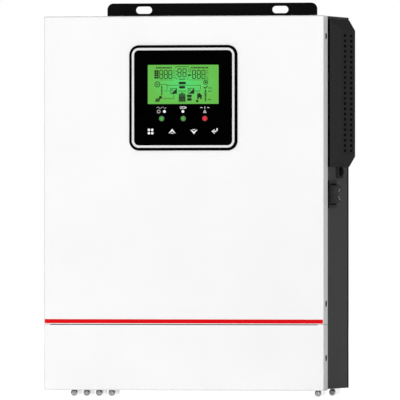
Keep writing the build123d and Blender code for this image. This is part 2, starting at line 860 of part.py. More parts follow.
def display_board():
    front = display_board_front()
    inset = rim_width + display_fit + display_wall + display_fit
    board = display_outline(inset, (front, front + board_thickness))
    rear, middle = front + board_thickness, display_middle - socket_drop
    socket = block((-socket_width / 2, socket_width / 2), (rear, rear + socket_depth),
                   (middle - socket_height / 2, middle + socket_height / 2))
    return board + socket


def lamp_lens(x):
    """A domed lamp lens through the face panel, on a stem from the display board."""
    lens = rod_y(lamp_radius, x, lamp_height, (-display_proud - lamp_dome, -ledge_front))
    rim = lens.edges().filter_by(GeomType.CIRCLE).sort_by(Axis.Y)[0]
    lens = fillet(rim, lamp_radius - lamp_stem)
    return lens + rod_y(lamp_stem, x, lamp_height, (-ledge_front, display_board_front()))


# ---------------------------------------------------------------- side vents

def vent_form(shrink):
    """The vent cover's hipped form on the right side: a plan outline cut by an end-on outline."""
    base = side_face - 10
    plan = [(base, vent_front), (side_face + vent_edge, vent_front),
            (side_face + vent_proud, vent_front + vent_slope),
            (side_face + vent_proud, vent_back), (base, vent_back)]
    end_on = [(base, vent_bottom), (side_face + vent_end_edge, vent_bottom),
              (side_face + vent_proud, vent_bottom + vent_end_slope),
              (side_face + vent_proud, vent_top - vent_end_slope),
              (side_face + vent_end_edge, vent_top), (base, vent_top)]
    plan_face = make_face(Plane.XY * Polyline(*[(x, y_at(d)) for x, d in plan], close=True))
    end_face = make_face(Plane.XZ * Polyline(*[(x, z_at(h)) for x, h in end_on], close=True))
    if shrink:
        plan_face = offset(plan_face, -shrink, kind=Kind.INTERSECTION)
        end_face = offset(end_face, -shrink, kind=Kind.INTERSECTION)
    low, high = z_at(vent_bottom - 30), z_at(vent_top + 30)
    tall = Location((0, 0, low)) * extrude(plan_face, high - low)
    deep = Location((0, y_at(0), 0)) * extrude(end_face, -(unit_depth + 10))
    return tall & deep


def vent_cover():
    """The moulded cover: hipped shell, two columns of slots, two hooks and a screw tab."""
    room = block((side_face, side_face + 40), (0, unit_depth), (0, unit_height + 20))
    shell = (vent_form(0) & room) - vent_form(vent_wall)
    slot = SlotOverall(vent_slot_length, vent_slot_height)
    first = vent_middle - vent_slot_pitch * (vent_slot_rows - 1) / 2
    cutters = []
    for depth in vent_slot_depths:
        for row in range(vent_slot_rows):
            place = Plane((side_face + vent_proud + 1, y_at(depth), z_at(first + row * vent_slot_pitch)),
                          x_dir=(0, 1, 0), z_dir=(1, 0, 0))
            cutters.append(extrude(place * slot, -vent_wall - 2))
    shell -= cutters
    tab = block((side_face, side_face + vent_tab),
                (vent_tab_middle - vent_tab_length / 2, vent_tab_middle + vent_tab_length / 2),
                (vent_bottom - vent_tab_height, vent_bottom + 1))
    shell += tab
    shell -= rod_x(vent_screw_radius + screw_fit, vent_tab_middle, vent_screw_height,
                   (side_face - past, side_face + vent_tab + past))
    near = side_inner - vent_hook_gap
    behind = near - vent_wall
    for depth in vent_hook_depths():
        top = vent_hook_height + vent_wall
        arm = block((behind, side_face + 20), depth, (vent_hook_height, top))
        catch = block((behind, near), depth, (top, top + vent_hook_catch))
        shell += (arm & vent_form(0)) + catch
    return shell


def vent_screw():
    """A domed thumb screw with a cross slot, through the tab."""
    middle, height = vent_tab_middle, vent_screw_height
    seat = side_face + vent_tab
    top = seat + vent_screw_head_length
    head = rod_x(vent_screw_head, middle, height, (seat, top))
    head = fillet(head.edges().filter_by(GeomType.CIRCLE).sort_by(Axis.X)[-1], vent_screw_dome)
    head -= cross_slot(middle, height, (top - vent_slot_cut, top + past), vent_slot_half)
    return rod_x(vent_screw_radius, middle, height, (side_inner - vent_screw_reach, seat)) + head


def dust_filter():
    """Open-cell foam between the right vent cover and the side panel."""
    return block((side_face, side_face + filter_thickness),
                 (vent_front + filter_margin * 2, vent_back - filter_margin / 2),
                 (vent_bottom + filter_margin, vent_hook_height - filter_gap))


# ---------------------------------------------------------------- power switch

def switch_half_length():
    """Half the length of the switch's body, along the depth."""
    return rocker_length / 2 + rocker_side_fit + switch_wall


def switch_half_height():
    """Half the height of the switch's body."""
    return rocker_height / 2 + rocker_swing_fit + switch_wall


def switch_body():
    half_length, half_height = switch_half_length(), switch_half_height()
    depth = (switch_depth - half_length, switch_depth + half_length)
    height = (switch_height - half_height, switch_height + half_height)
    body = block((side_face - switch_reach, side_face), depth, height)
    bezel = block((side_face, side_face + bezel_proud),
                  (depth[0] - bezel_margins[0], depth[1] + bezel_margins[0]),
                  (height[0] - bezel_margins[1], height[1] + bezel_margins[1]))
    bezel = chamfer(bezel.faces().sort_by(Axis.X)[-1].edges(), switch_chamfer)
    cavity = block((side_face - switch_cavity, side_face + bezel_proud + past),
                   (depth[0] + switch_wall, depth[1] - switch_wall),
                   (height[0] + switch_wall, height[1] - switch_wall))
    body = body + bezel - cavity
    pin_room = rocker_length / 2 + pin_length + pin_end_gap
    body -= rod_x_to_y(pin_radius + pin_fit, (switch_depth - pin_room, switch_depth + pin_room))
    return body


def rod_x_to_y(radius, depths):
    """A round bar along Y on the rocker's pivot line."""
    return rod_y(radius, side_face + rocker_pivot, switch_height, depths)


def switch_rocker():
    """The rocker: a saddle with a V valley, standing on a pivot barrel with two pins."""
    flank = side_face - rocker_skirt
    shoulder, tip = side_face + rocker_tip - rocker_crest, side_face + rocker_tip
    root = side_face + rocker_pivot - rocker_root
    upper = [(tip, rocker_tip_spread - rocker_crest), (shoulder, rocker_tip_spread + rocker_crest),
             (flank, rocker_height / 2), (root, rocker_root_half)]
    points = [(x, switch_height - reach) for x, reach in reversed(upper)]
    points += [(side_face + rocker_valley, switch_height)]
    points += [(x, switch_height + reach) for x, reach in upper]
    depths = (switch_depth - rocker_length / 2, switch_depth + rocker_length / 2)
    rocker = side_profile(points, depths)
    pins = rod_x_to_y(pin_radius, (depths[0] - pin_length, depths[1] + pin_length))
    return rocker + pins


def switch_blades():
    """Four brass blades on the back of the switch."""
    back = side_face - switch_reach
    wide, thin = blade_width / 2, blade_thickness / 2
    blades = []
    for i in (-1, 1):
        for j in (-1, 1):
            depth = switch_depth + i * blade_spread[0] / 2
            height = switch_height + j * blade_spread[1] / 2
            blades.append(block((back - blade_length, back), (depth - wide, depth + wide),
                                (height - thin, height + thin)))
    return group(blades)


# ---------------------------------------------------------------- fans

def fan_frame(height):
    """The fan's square frame against the left side panel, with its motor post on four struts."""
    outer, inner = -side_inner, -side_inner + fan_thickness
    half = fan_size / 2
    frame = block((outer, inner), (fan_depth - half, fan_depth + half), (height - half, height + half))
    frame = fillet(frame.edges().filter_by(Axis.X), fan_corner)
    frame -= rod_x(fan_bore, fan_depth, height, (outer - past, inner + past))
    frame += rod_x(fan_hub, fan_depth, height, (inner - fan_strut_depth, inner))
    for angle in (45, 135):
        bar = Box(fan_strut_depth, 2 * (fan_bore + past), fan_strut)
        frame += Location((inner - fan_strut_depth / 2, y_at(fan_depth), z_at(height)), (angle, 0, 0)) * bar
    frame -= rod_x(fan_shaft + fan_shaft_fit, fan_depth, height,
                   (inner - fan_strut_depth - past, inner + past))
    for depth, level in fan_holes(height):
        frame -= rod_x(board_screw_radius + screw_fit, depth, level, (outer - past, inner + past))
    return frame


def fan_rotor(height):
    """Hub, shaft and twisted blades."""
    outer = -side_inner + fan_front_gap
    motor = -side_inner + fan_thickness - fan_strut_depth
    inner = motor - fan_motor_gap
    reach, wide = fan_bore - fan_tip_gap, inner - outer
    hub = rod_x(fan_hub, fan_depth, height, (outer, inner))
    rotor = fillet(hub.edges().filter_by(GeomType.CIRCLE).sort_by(Axis.X)[0], fan_hub_round)
    root = Plane.XY.offset(fan_hub - fan_blade_thickness)
    root = root * Rot(0, 0, fan_root_angle) * Rectangle(wide - fan_blade_trim, fan_blade_thickness)
    tip = Plane.XY.offset(reach + fan_blade_trim)
    tip = tip * Rot(0, 0, fan_tip_angle) * Rectangle(wide + fan_blade_trim, fan_blade_thickness)
    blade = loft([root, tip])
    middle = ((outer + inner) / 2, y_at(fan_depth), z_at(height))
    room = rod_x(reach, fan_depth, height, (outer, inner))
    for i in range(fan_blades):
        rotor += Location(middle, (360 / fan_blades * i, 0, 0)) * blade & room
    return rotor + rod_x(fan_shaft, fan_depth, height, (inner, motor + fan_strut_depth))


def fan_screws():
    screws = []
    for height in fan_heights:
        for depth, level in fan_holes(height):
            shank = rod_x(board_screw_radius, depth, level, (-side_face, -side_inner + fan_screw_reach))
            head = rod_x(board_screw_head, depth, level, (-side_face - fan_screw_head, -side_face))
            screws.append(shank + head)
    return group(screws)


# ---------------------------------------------------------------- power electronics

def board_post_places():
    """Centres of the power board's posts, as (x, height)."""
    half = board_half - post_edge
    low, high = board_bottom + post_edge, board_top - post_edge
    return [(x, h) for x in (-half, 0.0, half) for h in (low, (low + high) / 2, high)]


def power_board():
    board = block((-board_half, board_half), (board_front, board_front + board_thickness),
                  (board_bottom, board_top))
    for x, height in board_post_places():
        board -= rod_y(board_screw_radius + screw_fit, x, height,
                       (board_front - past, board_front + board_thickness + past))
    return board


def board_posts():
    back = board_front + board_thickness
    thread = (back - past, back + post_thread)
    return group([rod_y(post_radius, x, h, (back, inner_back)) - rod_y(board_screw_radius, x, h, thread)
                  for x, h in board_post_places()])


def board_screws():
    shank = (board_front, board_front + board_thickness + board_screw_reach)
    head = (board_front - board_screw_head_length, board_front)
    return group([rod_y(board_screw_radius, x, h, shank) + rod_y(board_screw_head, x, h, head)
                  for x, h in board_post_places()])


def heat_sink(base, direction):
    """An extruded sink whose fins run along X with the air. Direction is +1 with fins up, -1 down."""
    depth = (board_front - sink_depth, board_front)
    low, high = sorted((base, base + direction * sink_base))
    sink = block(sink_ends, depth, (low, high))
    pitch = (sink_depth - sink_fin - 2 * sink_fin_margin) / (sink_fins - 1)
    for i in range(sink_fins):
        start = depth[0] + sink_fin_margin + i * pitch
        fin = (base + direction * sink_base / 2, base + direction * (sink_base + sink_fin_height))
        low, high = sorted(fin)
        sink += block(sink_ends, (start, start + sink_fin), (low, high))
    return sink


def power_transistors():
    """Flat power packages clamped to the sinks' bases, legs into the board."""
    packages = []
    seat = board_front - transistor_lead
    for base, direction in ((upper_sink_base, -1), (lower_sink_base, 1)):
        low, high = sorted((base, base + direction * transistor_thickness))
        middle = (low + high) / 2
        for i in range(transistors):
            x = sink_ends[0] + transistor_width + i * transistor_pitch
            body = block((x, x + transistor_width), (seat - transistor_height, seat), (low, high))
            for step in lead_steps:
                lead = x + step
                body += block((lead - lead_width / 2, lead + lead_width / 2), (seat - past, board_front),
                              (middle - lead_thickness / 2, middle + lead_thickness / 2))
            packages.append(body)
    return group(packages)


def transformer_core():
    """Two E-shaped ferrite halves, pressed together round the winding."""
    left, low = -board_half + core_place[0], core_place[1]
    depth = (board_front - core_lift - core_size[1], board_front - core_lift)
    core = block((left, left + core_size[0]), depth, (low, low + core_size[2]))
    for window in core_windows():
        core -= block((left + core_limb, left + core_size[0] - core_limb),
                      (depth[0] - past, depth[1] + past), window)
    return core


def core_windows():
    """The heights of the core's two windows, between its outer limbs and the double middle one."""
    low, high = core_place[1] + core_limb, core_place[1] + core_size[2] - core_limb
    middle = (low + high) / 2
    return [(low, middle - core_middle / 2), (middle + core_middle / 2, high)]


def transformer_winding():
    """Bobbin and winding round the core's middle limb, standing on the board."""
    left = -board_half + core_place[0]
    x = (left + core_limb + winding_fit, left + core_size[0] - core_limb - winding_fit)
    lower, upper = core_windows()
    back = board_front - core_lift
    front = back - core_size[1]
    winding = block(x, (front - winding_proud, board_front), (lower[0] + winding_fit, upper[1] - winding_fit))
    winding = fillet(winding.edges().filter_by(Axis.X), winding_round)
    return winding - block((x[0] - past, x[1] + past), (front - winding_fit, back + winding_fit),
                           (lower[1] - winding_fit, upper[0] + winding_fit))


def choke(x, height):
    """A toroid choke on its base: core and coil as one rounded ring, standing on the board."""
    span = choke_radius - choke_bore
    section = Plane.XZ * Pos(choke_bore + span / 2, 0) * RectangleRounded(span, choke_width, choke_round)
    base_top = board_front - choke_base
    middle = Location((x, y_at(base_top - choke_width / 2), z_at(height)), (90, 0, 0))
    half = choke_base_half
    base = block((x - half, x + half), (base_top, board_front), (height - half, height + half))
    return group([middle * revolve(section, Axis.Z), base])


def capacitor_places():
    """Centres of the bus capacitors, as (x, height)."""
    return [(-board_half + capacitor_edge + i * capacitor_pitch, capacitor_height) for i in range(capacitors)]


def bus_capacitors():
    cans = []
    for x, height in capacitor_places():
        can = rod_y(capacitor_radius, x, height, (board_front - capacitor_length, board_front))
        can = fillet(can.edges().filter_by(GeomType.CIRCLE).sort_by(Axis.Y)[0], capacitor_round)
        cans.append(can)
    return group(cans)


def relays():
    first = -board_half + relay_edge
    return group([block((first + i * relay_pitch, first + i * relay_pitch + relay_size[0]),
                        (board_front - relay_size[1], board_front), (relay_low, relay_low + relay_size[2]))
                  for i in range(relay_count)])


def control_card():
    """The card that carries the controller, standing on edge on the power board."""
    face = board_half - card_edge
    low, high = card_low, card_low + card_height
    card = block((face, face + board_thickness), (board_front - card_depth, board_front), (low, high))
    header = block((face - header_size[0], face), (board_front - header_size[1], board_front),
                   (low + header_inset, high - header_inset))
    chip_back, chip_low = board_front - chip_place[0], low + chip_place[1]
    chip = block((face - chip_size[0], face), (chip_back - chip_size[1], chip_back),
                 (chip_low, chip_low + chip_size[1]))
    front, top = board_front - card_depth + card_socket_inset[0], high - card_socket_inset[1]
    socket = block((face - card_socket[0], face), (front, front + card_socket[1]),
                   (top - card_socket[2], top))
    return card + header + chip + socket


def display_ribbon():
    """The flat cable from the display board's socket to the control card's."""
    start = display_board_front() + board_thickness + socket_depth
    end = board_front - card_depth + card_socket_inset[0] + card_socket[1] / 2
    turn = start + ribbon_lead
    face = board_half - card_edge - card_socket[0]
    corner = face - ribbon_turn
    path = FilletPolyline((0, y_at(start)), (0, y_at(turn)), (corner, y_at(turn)),
                          (corner, y_at(end)), (face, y_at(end)), radius=ribbon_bend)
    strip = trace(path, line_width=ribbon_thickness)
    middle = card_low + card_height - card_socket_inset[1] - card_socket[2] / 2
    return Location((0, 0, z_at(middle - ribbon_width / 2))) * extrude(strip, ribbon_width)


def terminal_block(x, height, ways, pitch):
    """A screw terminal block with one open chamber a way, wires entering from below."""
    front = board_front - terminal_depth
    body = block((x, x + ways * pitch), (front, board_front), (height, height + terminal_height))
    half = pitch * chamber_share / 2
    chamber = (front + chamber_start, front + chamber_start + chamber_depth)
    for way in range(ways):
        middle = x + (way + 0.5) * pitch
        body -= block((middle - half, middle + half), chamber, (height - past, height + chamber_height))
        body -= rod_y(pitch * funnel_share, middle, height + funnel_rise, (front - past, chamber[0] + past))
    return body


def terminal_rows():
    """The AC and PV terminal blocks, as (left end, lower edge, ways, pitch)."""
    left = -board_half + terminal_edge
    return [(x, terminal_low, ways, pitch)
            for x, ways, pitch in zip((left, left + terminal_second), terminal_ways, terminal_pitches)]


def terminal_screws():
    """The slotted clamping screws in the terminal blocks."""
    screws = []
    head_front = board_front - terminal_depth + terminal_screw_sunk
    head_back = head_front + terminal_screw_head
    for x, height, ways, pitch in terminal_rows():
        radius = pitch * funnel_share - terminal_screw_fit
        for way in range(ways):
            middle = x + (way + 0.5) * pitch
            head = rod_y(radius, middle, height + funnel_rise, (head_front, head_back))
            screws.append(head + rod_y(terminal_screw_shank, middle, height + funnel_rise,
                                       (head_back, head_back + terminal_screw_length)))
    return group(screws)


def battery_post_xs():
    return (board_half - battery_edge - battery_spread, board_half - battery_edge)


def battery_posts():
    """Two brass studs facing the front, each on a square foot."""
    posts = []
    back = board_front - battery_base_depth
    face, half = back - battery_foot, battery_foot_half
    for x in battery_post_xs():
        height = battery_post_height
        foot = block((x - half, x + half), (face, back), (height - half, height + half))
        posts.append(foot + rod_y(battery_stud, x, height, (face - battery_stud_length, face)))
    return group(posts)


def battery_base():
    """The black moulded base under the studs, with a wall between them."""
    left, right = battery_post_xs()
    margin, front = battery_base_margin, board_front - battery_base_depth
    height = (battery_post_height - margin, battery_post_height + margin)
    base = block((left - margin, right + margin), (front, board_front), height)
    base = fillet(base.edges().filter_by(Axis.Y), 1.0)
    middle = (left + right) / 2
    return base + block((middle - battery_wall / 2, middle + battery_wall / 2),
                        (front - battery_wall_reach, front + past), height)


def battery_nuts():
    """Hexagon nuts and washers on the studs."""
    nuts = []
    face = board_front - battery_base_depth - battery_foot
    seat = face - washer_thickness
    bore = battery_stud + nut_fit
    height = battery_post_height
    for x in battery_post_xs():
        outline = RegularPolygon(nut_radius, 6) - Circle(bore)
        plane = Plane((x, y_at(seat - nut_length), z_at(height)), x_dir=(1, 0, 0), z_dir=(0, -1, 0))
        washer = rod_y(washer_radius, x, height, (seat, face))
        washer -= rod_y(bore, x, height, (seat - past, face + past))
        nuts.append(extrude(plane * outline, -nut_length) + washer)
    return group(nuts)


def battery_fuse():
    """A bolt-down strip fuse above the battery base."""
    middle = sum(battery_post_xs()) / 2
    low = battery_post_height + fuse_rise
    body_low = low + (fuse_strip[2] - fuse_size[2]) / 2
    fuse = block((middle - fuse_size[0] / 2, middle + fuse_size[0] / 2),
                 (board_front - fuse_size[1], board_front), (body_low, body_low + fuse_size[2]))
    x = (middle - fuse_strip[0] / 2, middle + fuse_strip[0] / 2)
    strip_back = board_front - fuse_strip_rise
    fuse += block(x, (strip_back - fuse_strip[1], strip_back), (low, low + fuse_strip[2]))
    for foot in (low, low + fuse_strip[2] - fuse_foot):
        fuse += block(x, (strip_back, board_front), (foot, foot + fuse_foot))
    return fuse


# ---------------------------------------------------------------- bottom entries

def entry_rows():
    """The cable entries, as rows of x places with their clear radius."""
    return ((ac_entries, ac_entry_radius), (pv_entries, pv_entry_radius),
            (battery_entries, battery_entry_radius))


def grommets(places, radius):
    """Rubber grommets with a lip each side of the bottom panel."""
    rings = []
    low, high = panel_rise - grommet_lip, bottom_top + grommet_lip
    neck = radius + grommet_wall
    for x in places:
        body = rod_z(neck, x, entry_depth, (low, high))
        body += rod_z(neck + grommet_lip_reach, x, entry_depth, (low, panel_rise))
        body += rod_z(neck + grommet_lip_reach, x, entry_depth, (bottom_top, high))
        rings.append(body - rod_z(radius, x, entry_depth, (low - past, high + past)))
    return group(rings)


def clamp_places():
    """Each clamp screw's (x, depth of its head's front)."""
    return [(x, clamp_front) for x in clamp_row] + [(clamp_right, d) for d in clamp_right_depths]


def clamp_length(depth):
    """A lug's length, limited by the bottom panel's rear edge."""
    return min(lug_length, panel_back - depth - clamp_head_length)


def clamp_lugs():
    """Folded lugs under the bottom panel that the clamp screws thread into."""
    lugs = []
    for x, depth in clamp_places():
        start = depth + clamp_head_length
        lug = block((x - lug_width / 2, x + lug_width / 2), (start, start + clamp_length(depth)),
                    (-clamp_drop - clamp_shank_radius - lug_floor, panel_rise))
        lug = fillet(lug.edges().filter_by(Axis.Y).sort_by(Axis.Z)[:2], lug_round)
        lugs.append(lug - rod_y(clamp_shank_radius, x, -clamp_drop, (start - past, start + clamp_reach)))
    return group(lugs)


def clamp_screws():
    """Pan-head screws with a cross slot, facing the front."""
    screws = []
    half, thin = clamp_slot_half, clamp_slot / 2
    for x, depth in clamp_places():
        start = depth + clamp_head_length
        cut = (depth - past, depth + clamp_slot_depth)
        head = rod_y(clamp_head_radius, x, -clamp_drop, (depth, start))
        head = fillet(head.edges().filter_by(GeomType.CIRCLE).sort_by(Axis.Y)[0], clamp_head_round)
        head -= block((x - thin, x + thin), cut, (-clamp_drop - half, -clamp_drop + half))
        head -= block((x - half, x + half), cut, (-clamp_drop - thin, -clamp_drop + thin))
        screws.append(head + rod_y(clamp_shank_radius, x, -clamp_drop, (start, start + clamp_reach)))
    return group(screws)


def reset_breaker():
    """The breaker's body above the bottom panel, with its collar below."""
    x, half = breaker_place, breaker_half
    low, bore_top = panel_rise - breaker_collar_length, bottom_top + breaker_bore
    body = rod_z(breaker_radius, x, entry_depth, (low, bottom_top + past))
    body += rod_z(breaker_radius + breaker_collar, x, entry_depth, (low, panel_rise))
    body += block((x - half, x + half), (entry_depth - half, entry_depth + half),
                  (bottom_top, bottom_top + breaker_body))
    return body - rod_z(button_radius + button_fit, x, entry_depth, (low - past, bore_top))


def reset_button():
    low = panel_rise - breaker_collar_length - button_proud
    top = bottom_top + breaker_bore - button_travel - button_end_gap
    button = rod_z(button_radius, breaker_place, entry_depth, (low, top))
    return fillet(button.edges().filter_by(GeomType.CIRCLE).sort_by(Axis.Z)[0], button_round)


def square_well(x, half, heights):
    """An upright block on the entries' line, square in plan."""
    return block((x - half, x + half), (entry_depth - half, entry_depth + half), heights)


def ports():
    """Two moulded communication sockets, opening downward."""
    sockets = []
    roof = bottom_top + port_depth
    tongue = entry_depth + port_tongue_place
    for x in port_places:
        shell = square_well(x, port_half, (panel_rise - port_proud, roof + port_roof))
        shell += square_well(x, port_half + port_flange, (bottom_top, bottom_top + port_flange_thickness))
        shell -= square_well(x, port_half - port_wall, (0, roof))
        shell += block((x - port_tongue[0] / 2, x + port_tongue[0] / 2), (tongue, tongue + port_tongue[1]),
                       (bottom_top, roof + past))
        sockets.append(shell)
    return group(sockets)


def earth_screw():
    """The earthing screw in the bottom panel."""
    screw = rod_z(earth_radius, earth_place, entry_depth, (panel_rise, bottom_top + earth_length))
    return screw + rod_z(earth_radius * earth_head_over, earth_place, entry_depth,
                         (panel_rise - earth_head, panel_rise))


def earth_nut():
    """Its nut inside."""
    plane = Plane((earth_place, y_at(entry_depth), z_at(bottom_top)))
    outline = RegularPolygon(earth_radius * earth_head_over, 6) - Circle(earth_radius + nut_fit)
    return extrude(plane * outline, earth_nut_length)


def nodes():
    """Every node, by name."""
    right_vent = vent_cover()
    return {
        "upper_cover": upper_cover(), "lower_cover": lower_cover(), "red_stripe": red_stripe(),
        "upper_cover_screws": flange_screws(upper_screw_heights),
        "lower_cover_screws": flange_screws(lower_screw_heights),
        "side_panel_right": side_panel_right(), "side_panel_left": side_panel_left(),
        "back_panel": back_panel(), "top_panel": top_panel(), "bottom_panel": bottom_panel(),
        "front_rail": front_rail(),
        "wall_bracket": wall_bracket(), "lower_spacer": lower_spacer(), "bracket_screws": bracket_screws(),
        "display_housing": display_housing(), "display_ring": display_ring(), "face_panel": face_panel(),
        "lcd_cell": lcd_cell(), "lcd_frame": lcd_frame_part(), "display_board": display_board(),
        "green_lamps": group([lamp_lens(x) for x in lamp_places[:2]]), "red_lamp": lamp_lens(lamp_places[2]),
        "vent_cover_right": right_vent, "vent_cover_left": mirrored(right_vent),
        "vent_cover_screws": both_sides(vent_screw()), "dust_filter": dust_filter(),
        "switch_body": switch_body(), "switch_rocker": switch_rocker(), "switch_blades": switch_blades(),
        "fan_frame_lower": fan_frame(fan_heights[0]), "fan_frame_upper": fan_frame(fan_heights[1]),
        "fan_rotor_lower": fan_rotor(fan_heights[0]), "fan_rotor_upper": fan_rotor(fan_heights[1]),
        "fan_screws": fan_screws(),
        "power_board": power_board(), "board_posts": board_posts(), "board_screws": board_screws(),
        "heat_sink_upper": heat_sink(upper_sink_base, 1), "heat_sink_lower": heat_sink(lower_sink_base, -1),
        "power_transistors": power_transistors(),
        "transformer_core": transformer_core(), "transformer_winding": transformer_winding(),
        "chokes": group([choke(x, choke_height) for x in choke_places]),
        "bus_capacitors": bus_capacitors(), "relays": relays(), "control_card": control_card(),
        "display_ribbon": display_ribbon(),
        "terminal_blocks": group([terminal_block(*place) for place in terminal_rows()]),
        "terminal_screws": terminal_screws(),
        "battery_posts": battery_posts(), "battery_base": battery_base(), "battery_nuts": battery_nuts(),
        "battery_fuse": battery_fuse(),
        "cable_grommets": group([grommets(places, radius) for places, radius in entry_rows()]),
        "clamp_lugs": clamp_lugs(), "clamp_screws": clamp_screws(),
        "reset_breaker": reset_breaker(), "reset_button": reset_button(), "ports": ports(),
        "earth_screw": group([earth_screw(), earth_nut()]),
    }


os.makedirs("parts", exist_ok=True)
for name, shape in nodes().items():
    export_step(shape, f"parts/{name}.step")
    print(name, len(shape.solids()))
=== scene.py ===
"""The look of a wall-hung solar inverter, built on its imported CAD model.

Lengths given in millimetres end in ``_mm``; everything handed to Blender is in metres. The row frame has
+Z up, +Y into the wall and the display facing -Y, with its origin between the wall slots.
"""

from __future__ import annotations

import enum
import json
import logging
import math
from dataclasses import dataclass, field
from typing import Any, Iterable, Sequence

import bmesh
import bpy
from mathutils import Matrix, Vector

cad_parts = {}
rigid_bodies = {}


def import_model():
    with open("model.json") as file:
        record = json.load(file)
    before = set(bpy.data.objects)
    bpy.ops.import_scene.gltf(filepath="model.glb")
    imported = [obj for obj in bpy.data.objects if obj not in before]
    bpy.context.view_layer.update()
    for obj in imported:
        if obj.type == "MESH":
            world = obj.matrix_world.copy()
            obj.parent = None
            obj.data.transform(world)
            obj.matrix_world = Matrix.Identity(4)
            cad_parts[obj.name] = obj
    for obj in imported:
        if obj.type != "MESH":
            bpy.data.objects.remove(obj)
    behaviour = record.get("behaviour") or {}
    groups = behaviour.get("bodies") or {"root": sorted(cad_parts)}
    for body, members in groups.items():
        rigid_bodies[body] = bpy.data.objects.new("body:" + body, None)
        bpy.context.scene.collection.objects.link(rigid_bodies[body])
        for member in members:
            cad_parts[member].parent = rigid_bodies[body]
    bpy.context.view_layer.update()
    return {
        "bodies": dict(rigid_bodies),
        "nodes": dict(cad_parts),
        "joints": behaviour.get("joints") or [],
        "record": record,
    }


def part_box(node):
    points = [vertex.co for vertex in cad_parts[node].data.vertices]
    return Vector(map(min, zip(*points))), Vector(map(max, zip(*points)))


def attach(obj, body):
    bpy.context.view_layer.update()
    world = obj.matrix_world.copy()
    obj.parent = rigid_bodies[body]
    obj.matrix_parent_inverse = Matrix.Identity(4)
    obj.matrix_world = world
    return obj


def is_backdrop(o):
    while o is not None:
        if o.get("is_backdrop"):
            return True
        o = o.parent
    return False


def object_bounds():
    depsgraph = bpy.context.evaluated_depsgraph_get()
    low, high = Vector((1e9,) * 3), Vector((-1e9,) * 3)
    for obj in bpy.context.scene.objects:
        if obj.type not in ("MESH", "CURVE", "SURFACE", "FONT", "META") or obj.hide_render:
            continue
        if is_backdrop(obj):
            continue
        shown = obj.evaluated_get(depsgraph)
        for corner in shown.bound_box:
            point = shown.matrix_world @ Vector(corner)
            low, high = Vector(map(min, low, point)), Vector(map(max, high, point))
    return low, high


log = logging.getLogger("inverter")

Colour = tuple[float, float, float, float]
Pair = tuple[float, float]
Triple = tuple[float, float, float]
Inputs = dict[Any, Any]
Socket = bpy.types.NodeSocket

MM = 0.001
# How softly one tone on a surface ends in another, in metres.
FADE = 0.2 * MM
HOUSING_BODY = "housing"
ALONG, UP = Vector((1, 0, 0)), Vector((0, 0, 1))


# ---- small tools


def linear(code: str) -> Colour:
    """Turns an sRGB hex colour into a linear one.

    Args:
        code: Six hexadecimal digits after a "#".

    Returns:
        Red, green, blue and an alpha of 1.
    """
    values = [int(code[i : i + 2], 16) / 255 for i in (1, 3, 5)]
    red, green, blue = (v / 12.92 if v <= 0.04045 else ((v + 0.055) / 1.055) ** 2.4 for v in values)
    return (red, green, blue, 1.0)


def box_of(node: str) -> tuple[Vector, Vector, Vector]:
    """Gives a CAD node's lowest corner, highest corner and middle, in metres."""
    low, high = (Vector(corner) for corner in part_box(node))
    return low, high, (low + high) / 2


def add_object(name: str, data: Any) -> bpy.types.Object:
    """Makes an object and puts it in the scene.

    Args:
        name: Its name.
        data: Its mesh, light or camera.

    Returns:
        The object.
    """
    made = bpy.data.objects.new(name, data)
    bpy.context.scene.collection.objects.link(made)
    return made


@dataclass(frozen=True)
class Nodes:
    """The node tree of a material or the world, while it is filled.

    Attributes:
        tree: The node tree.
    """

    tree: bpy.types.NodeTree

    def fill(self, node: bpy.types.Node, inputs: Inputs) -> None:
        """Fills or links some of a node's inputs.

        Args:
            node: The node.
            inputs: Values or output sockets by the input's name or number.
        """
        for name, value in inputs.items():
            if isinstance(value, Socket):
                self.tree.links.new(value, node.inputs[name])
            else:
                node.inputs[name].default_value = value

    def add(self, kind: str, inputs: Inputs | None = None, **settings: Any) -> Any:
        """Adds one node with its settings and links.

        Args:
            kind: Blender's class name of the node, after "ShaderNode".
            inputs: Values or output sockets by the input's name or number.
            **settings: The node's own properties.

        Returns:
            The new node's outputs.
        """
        node = self.tree.nodes.new("ShaderNode" + kind)
        for name, value in settings.items():
            setattr(node, name, value)
        self.fill(node, inputs or {})
        return node.outputs

    def seen_directly(self) -> Socket:
        """Tells the camera's own view, mirrors and glass from the rays that only light the scene.

        Returns:
            1 for what is seen, 0 for the rest.
        """
        rays = self.add("LightPath")
        seen = self.add("Math", {0: rays["Is Camera Ray"], 1: rays["Is Glossy Ray"]}, operation="ADD")
        both = {0: seen[0], 1: rays["Is Transmission Ray"]}
        return self.add("Math", both, operation="ADD", use_clamp=True)[0]


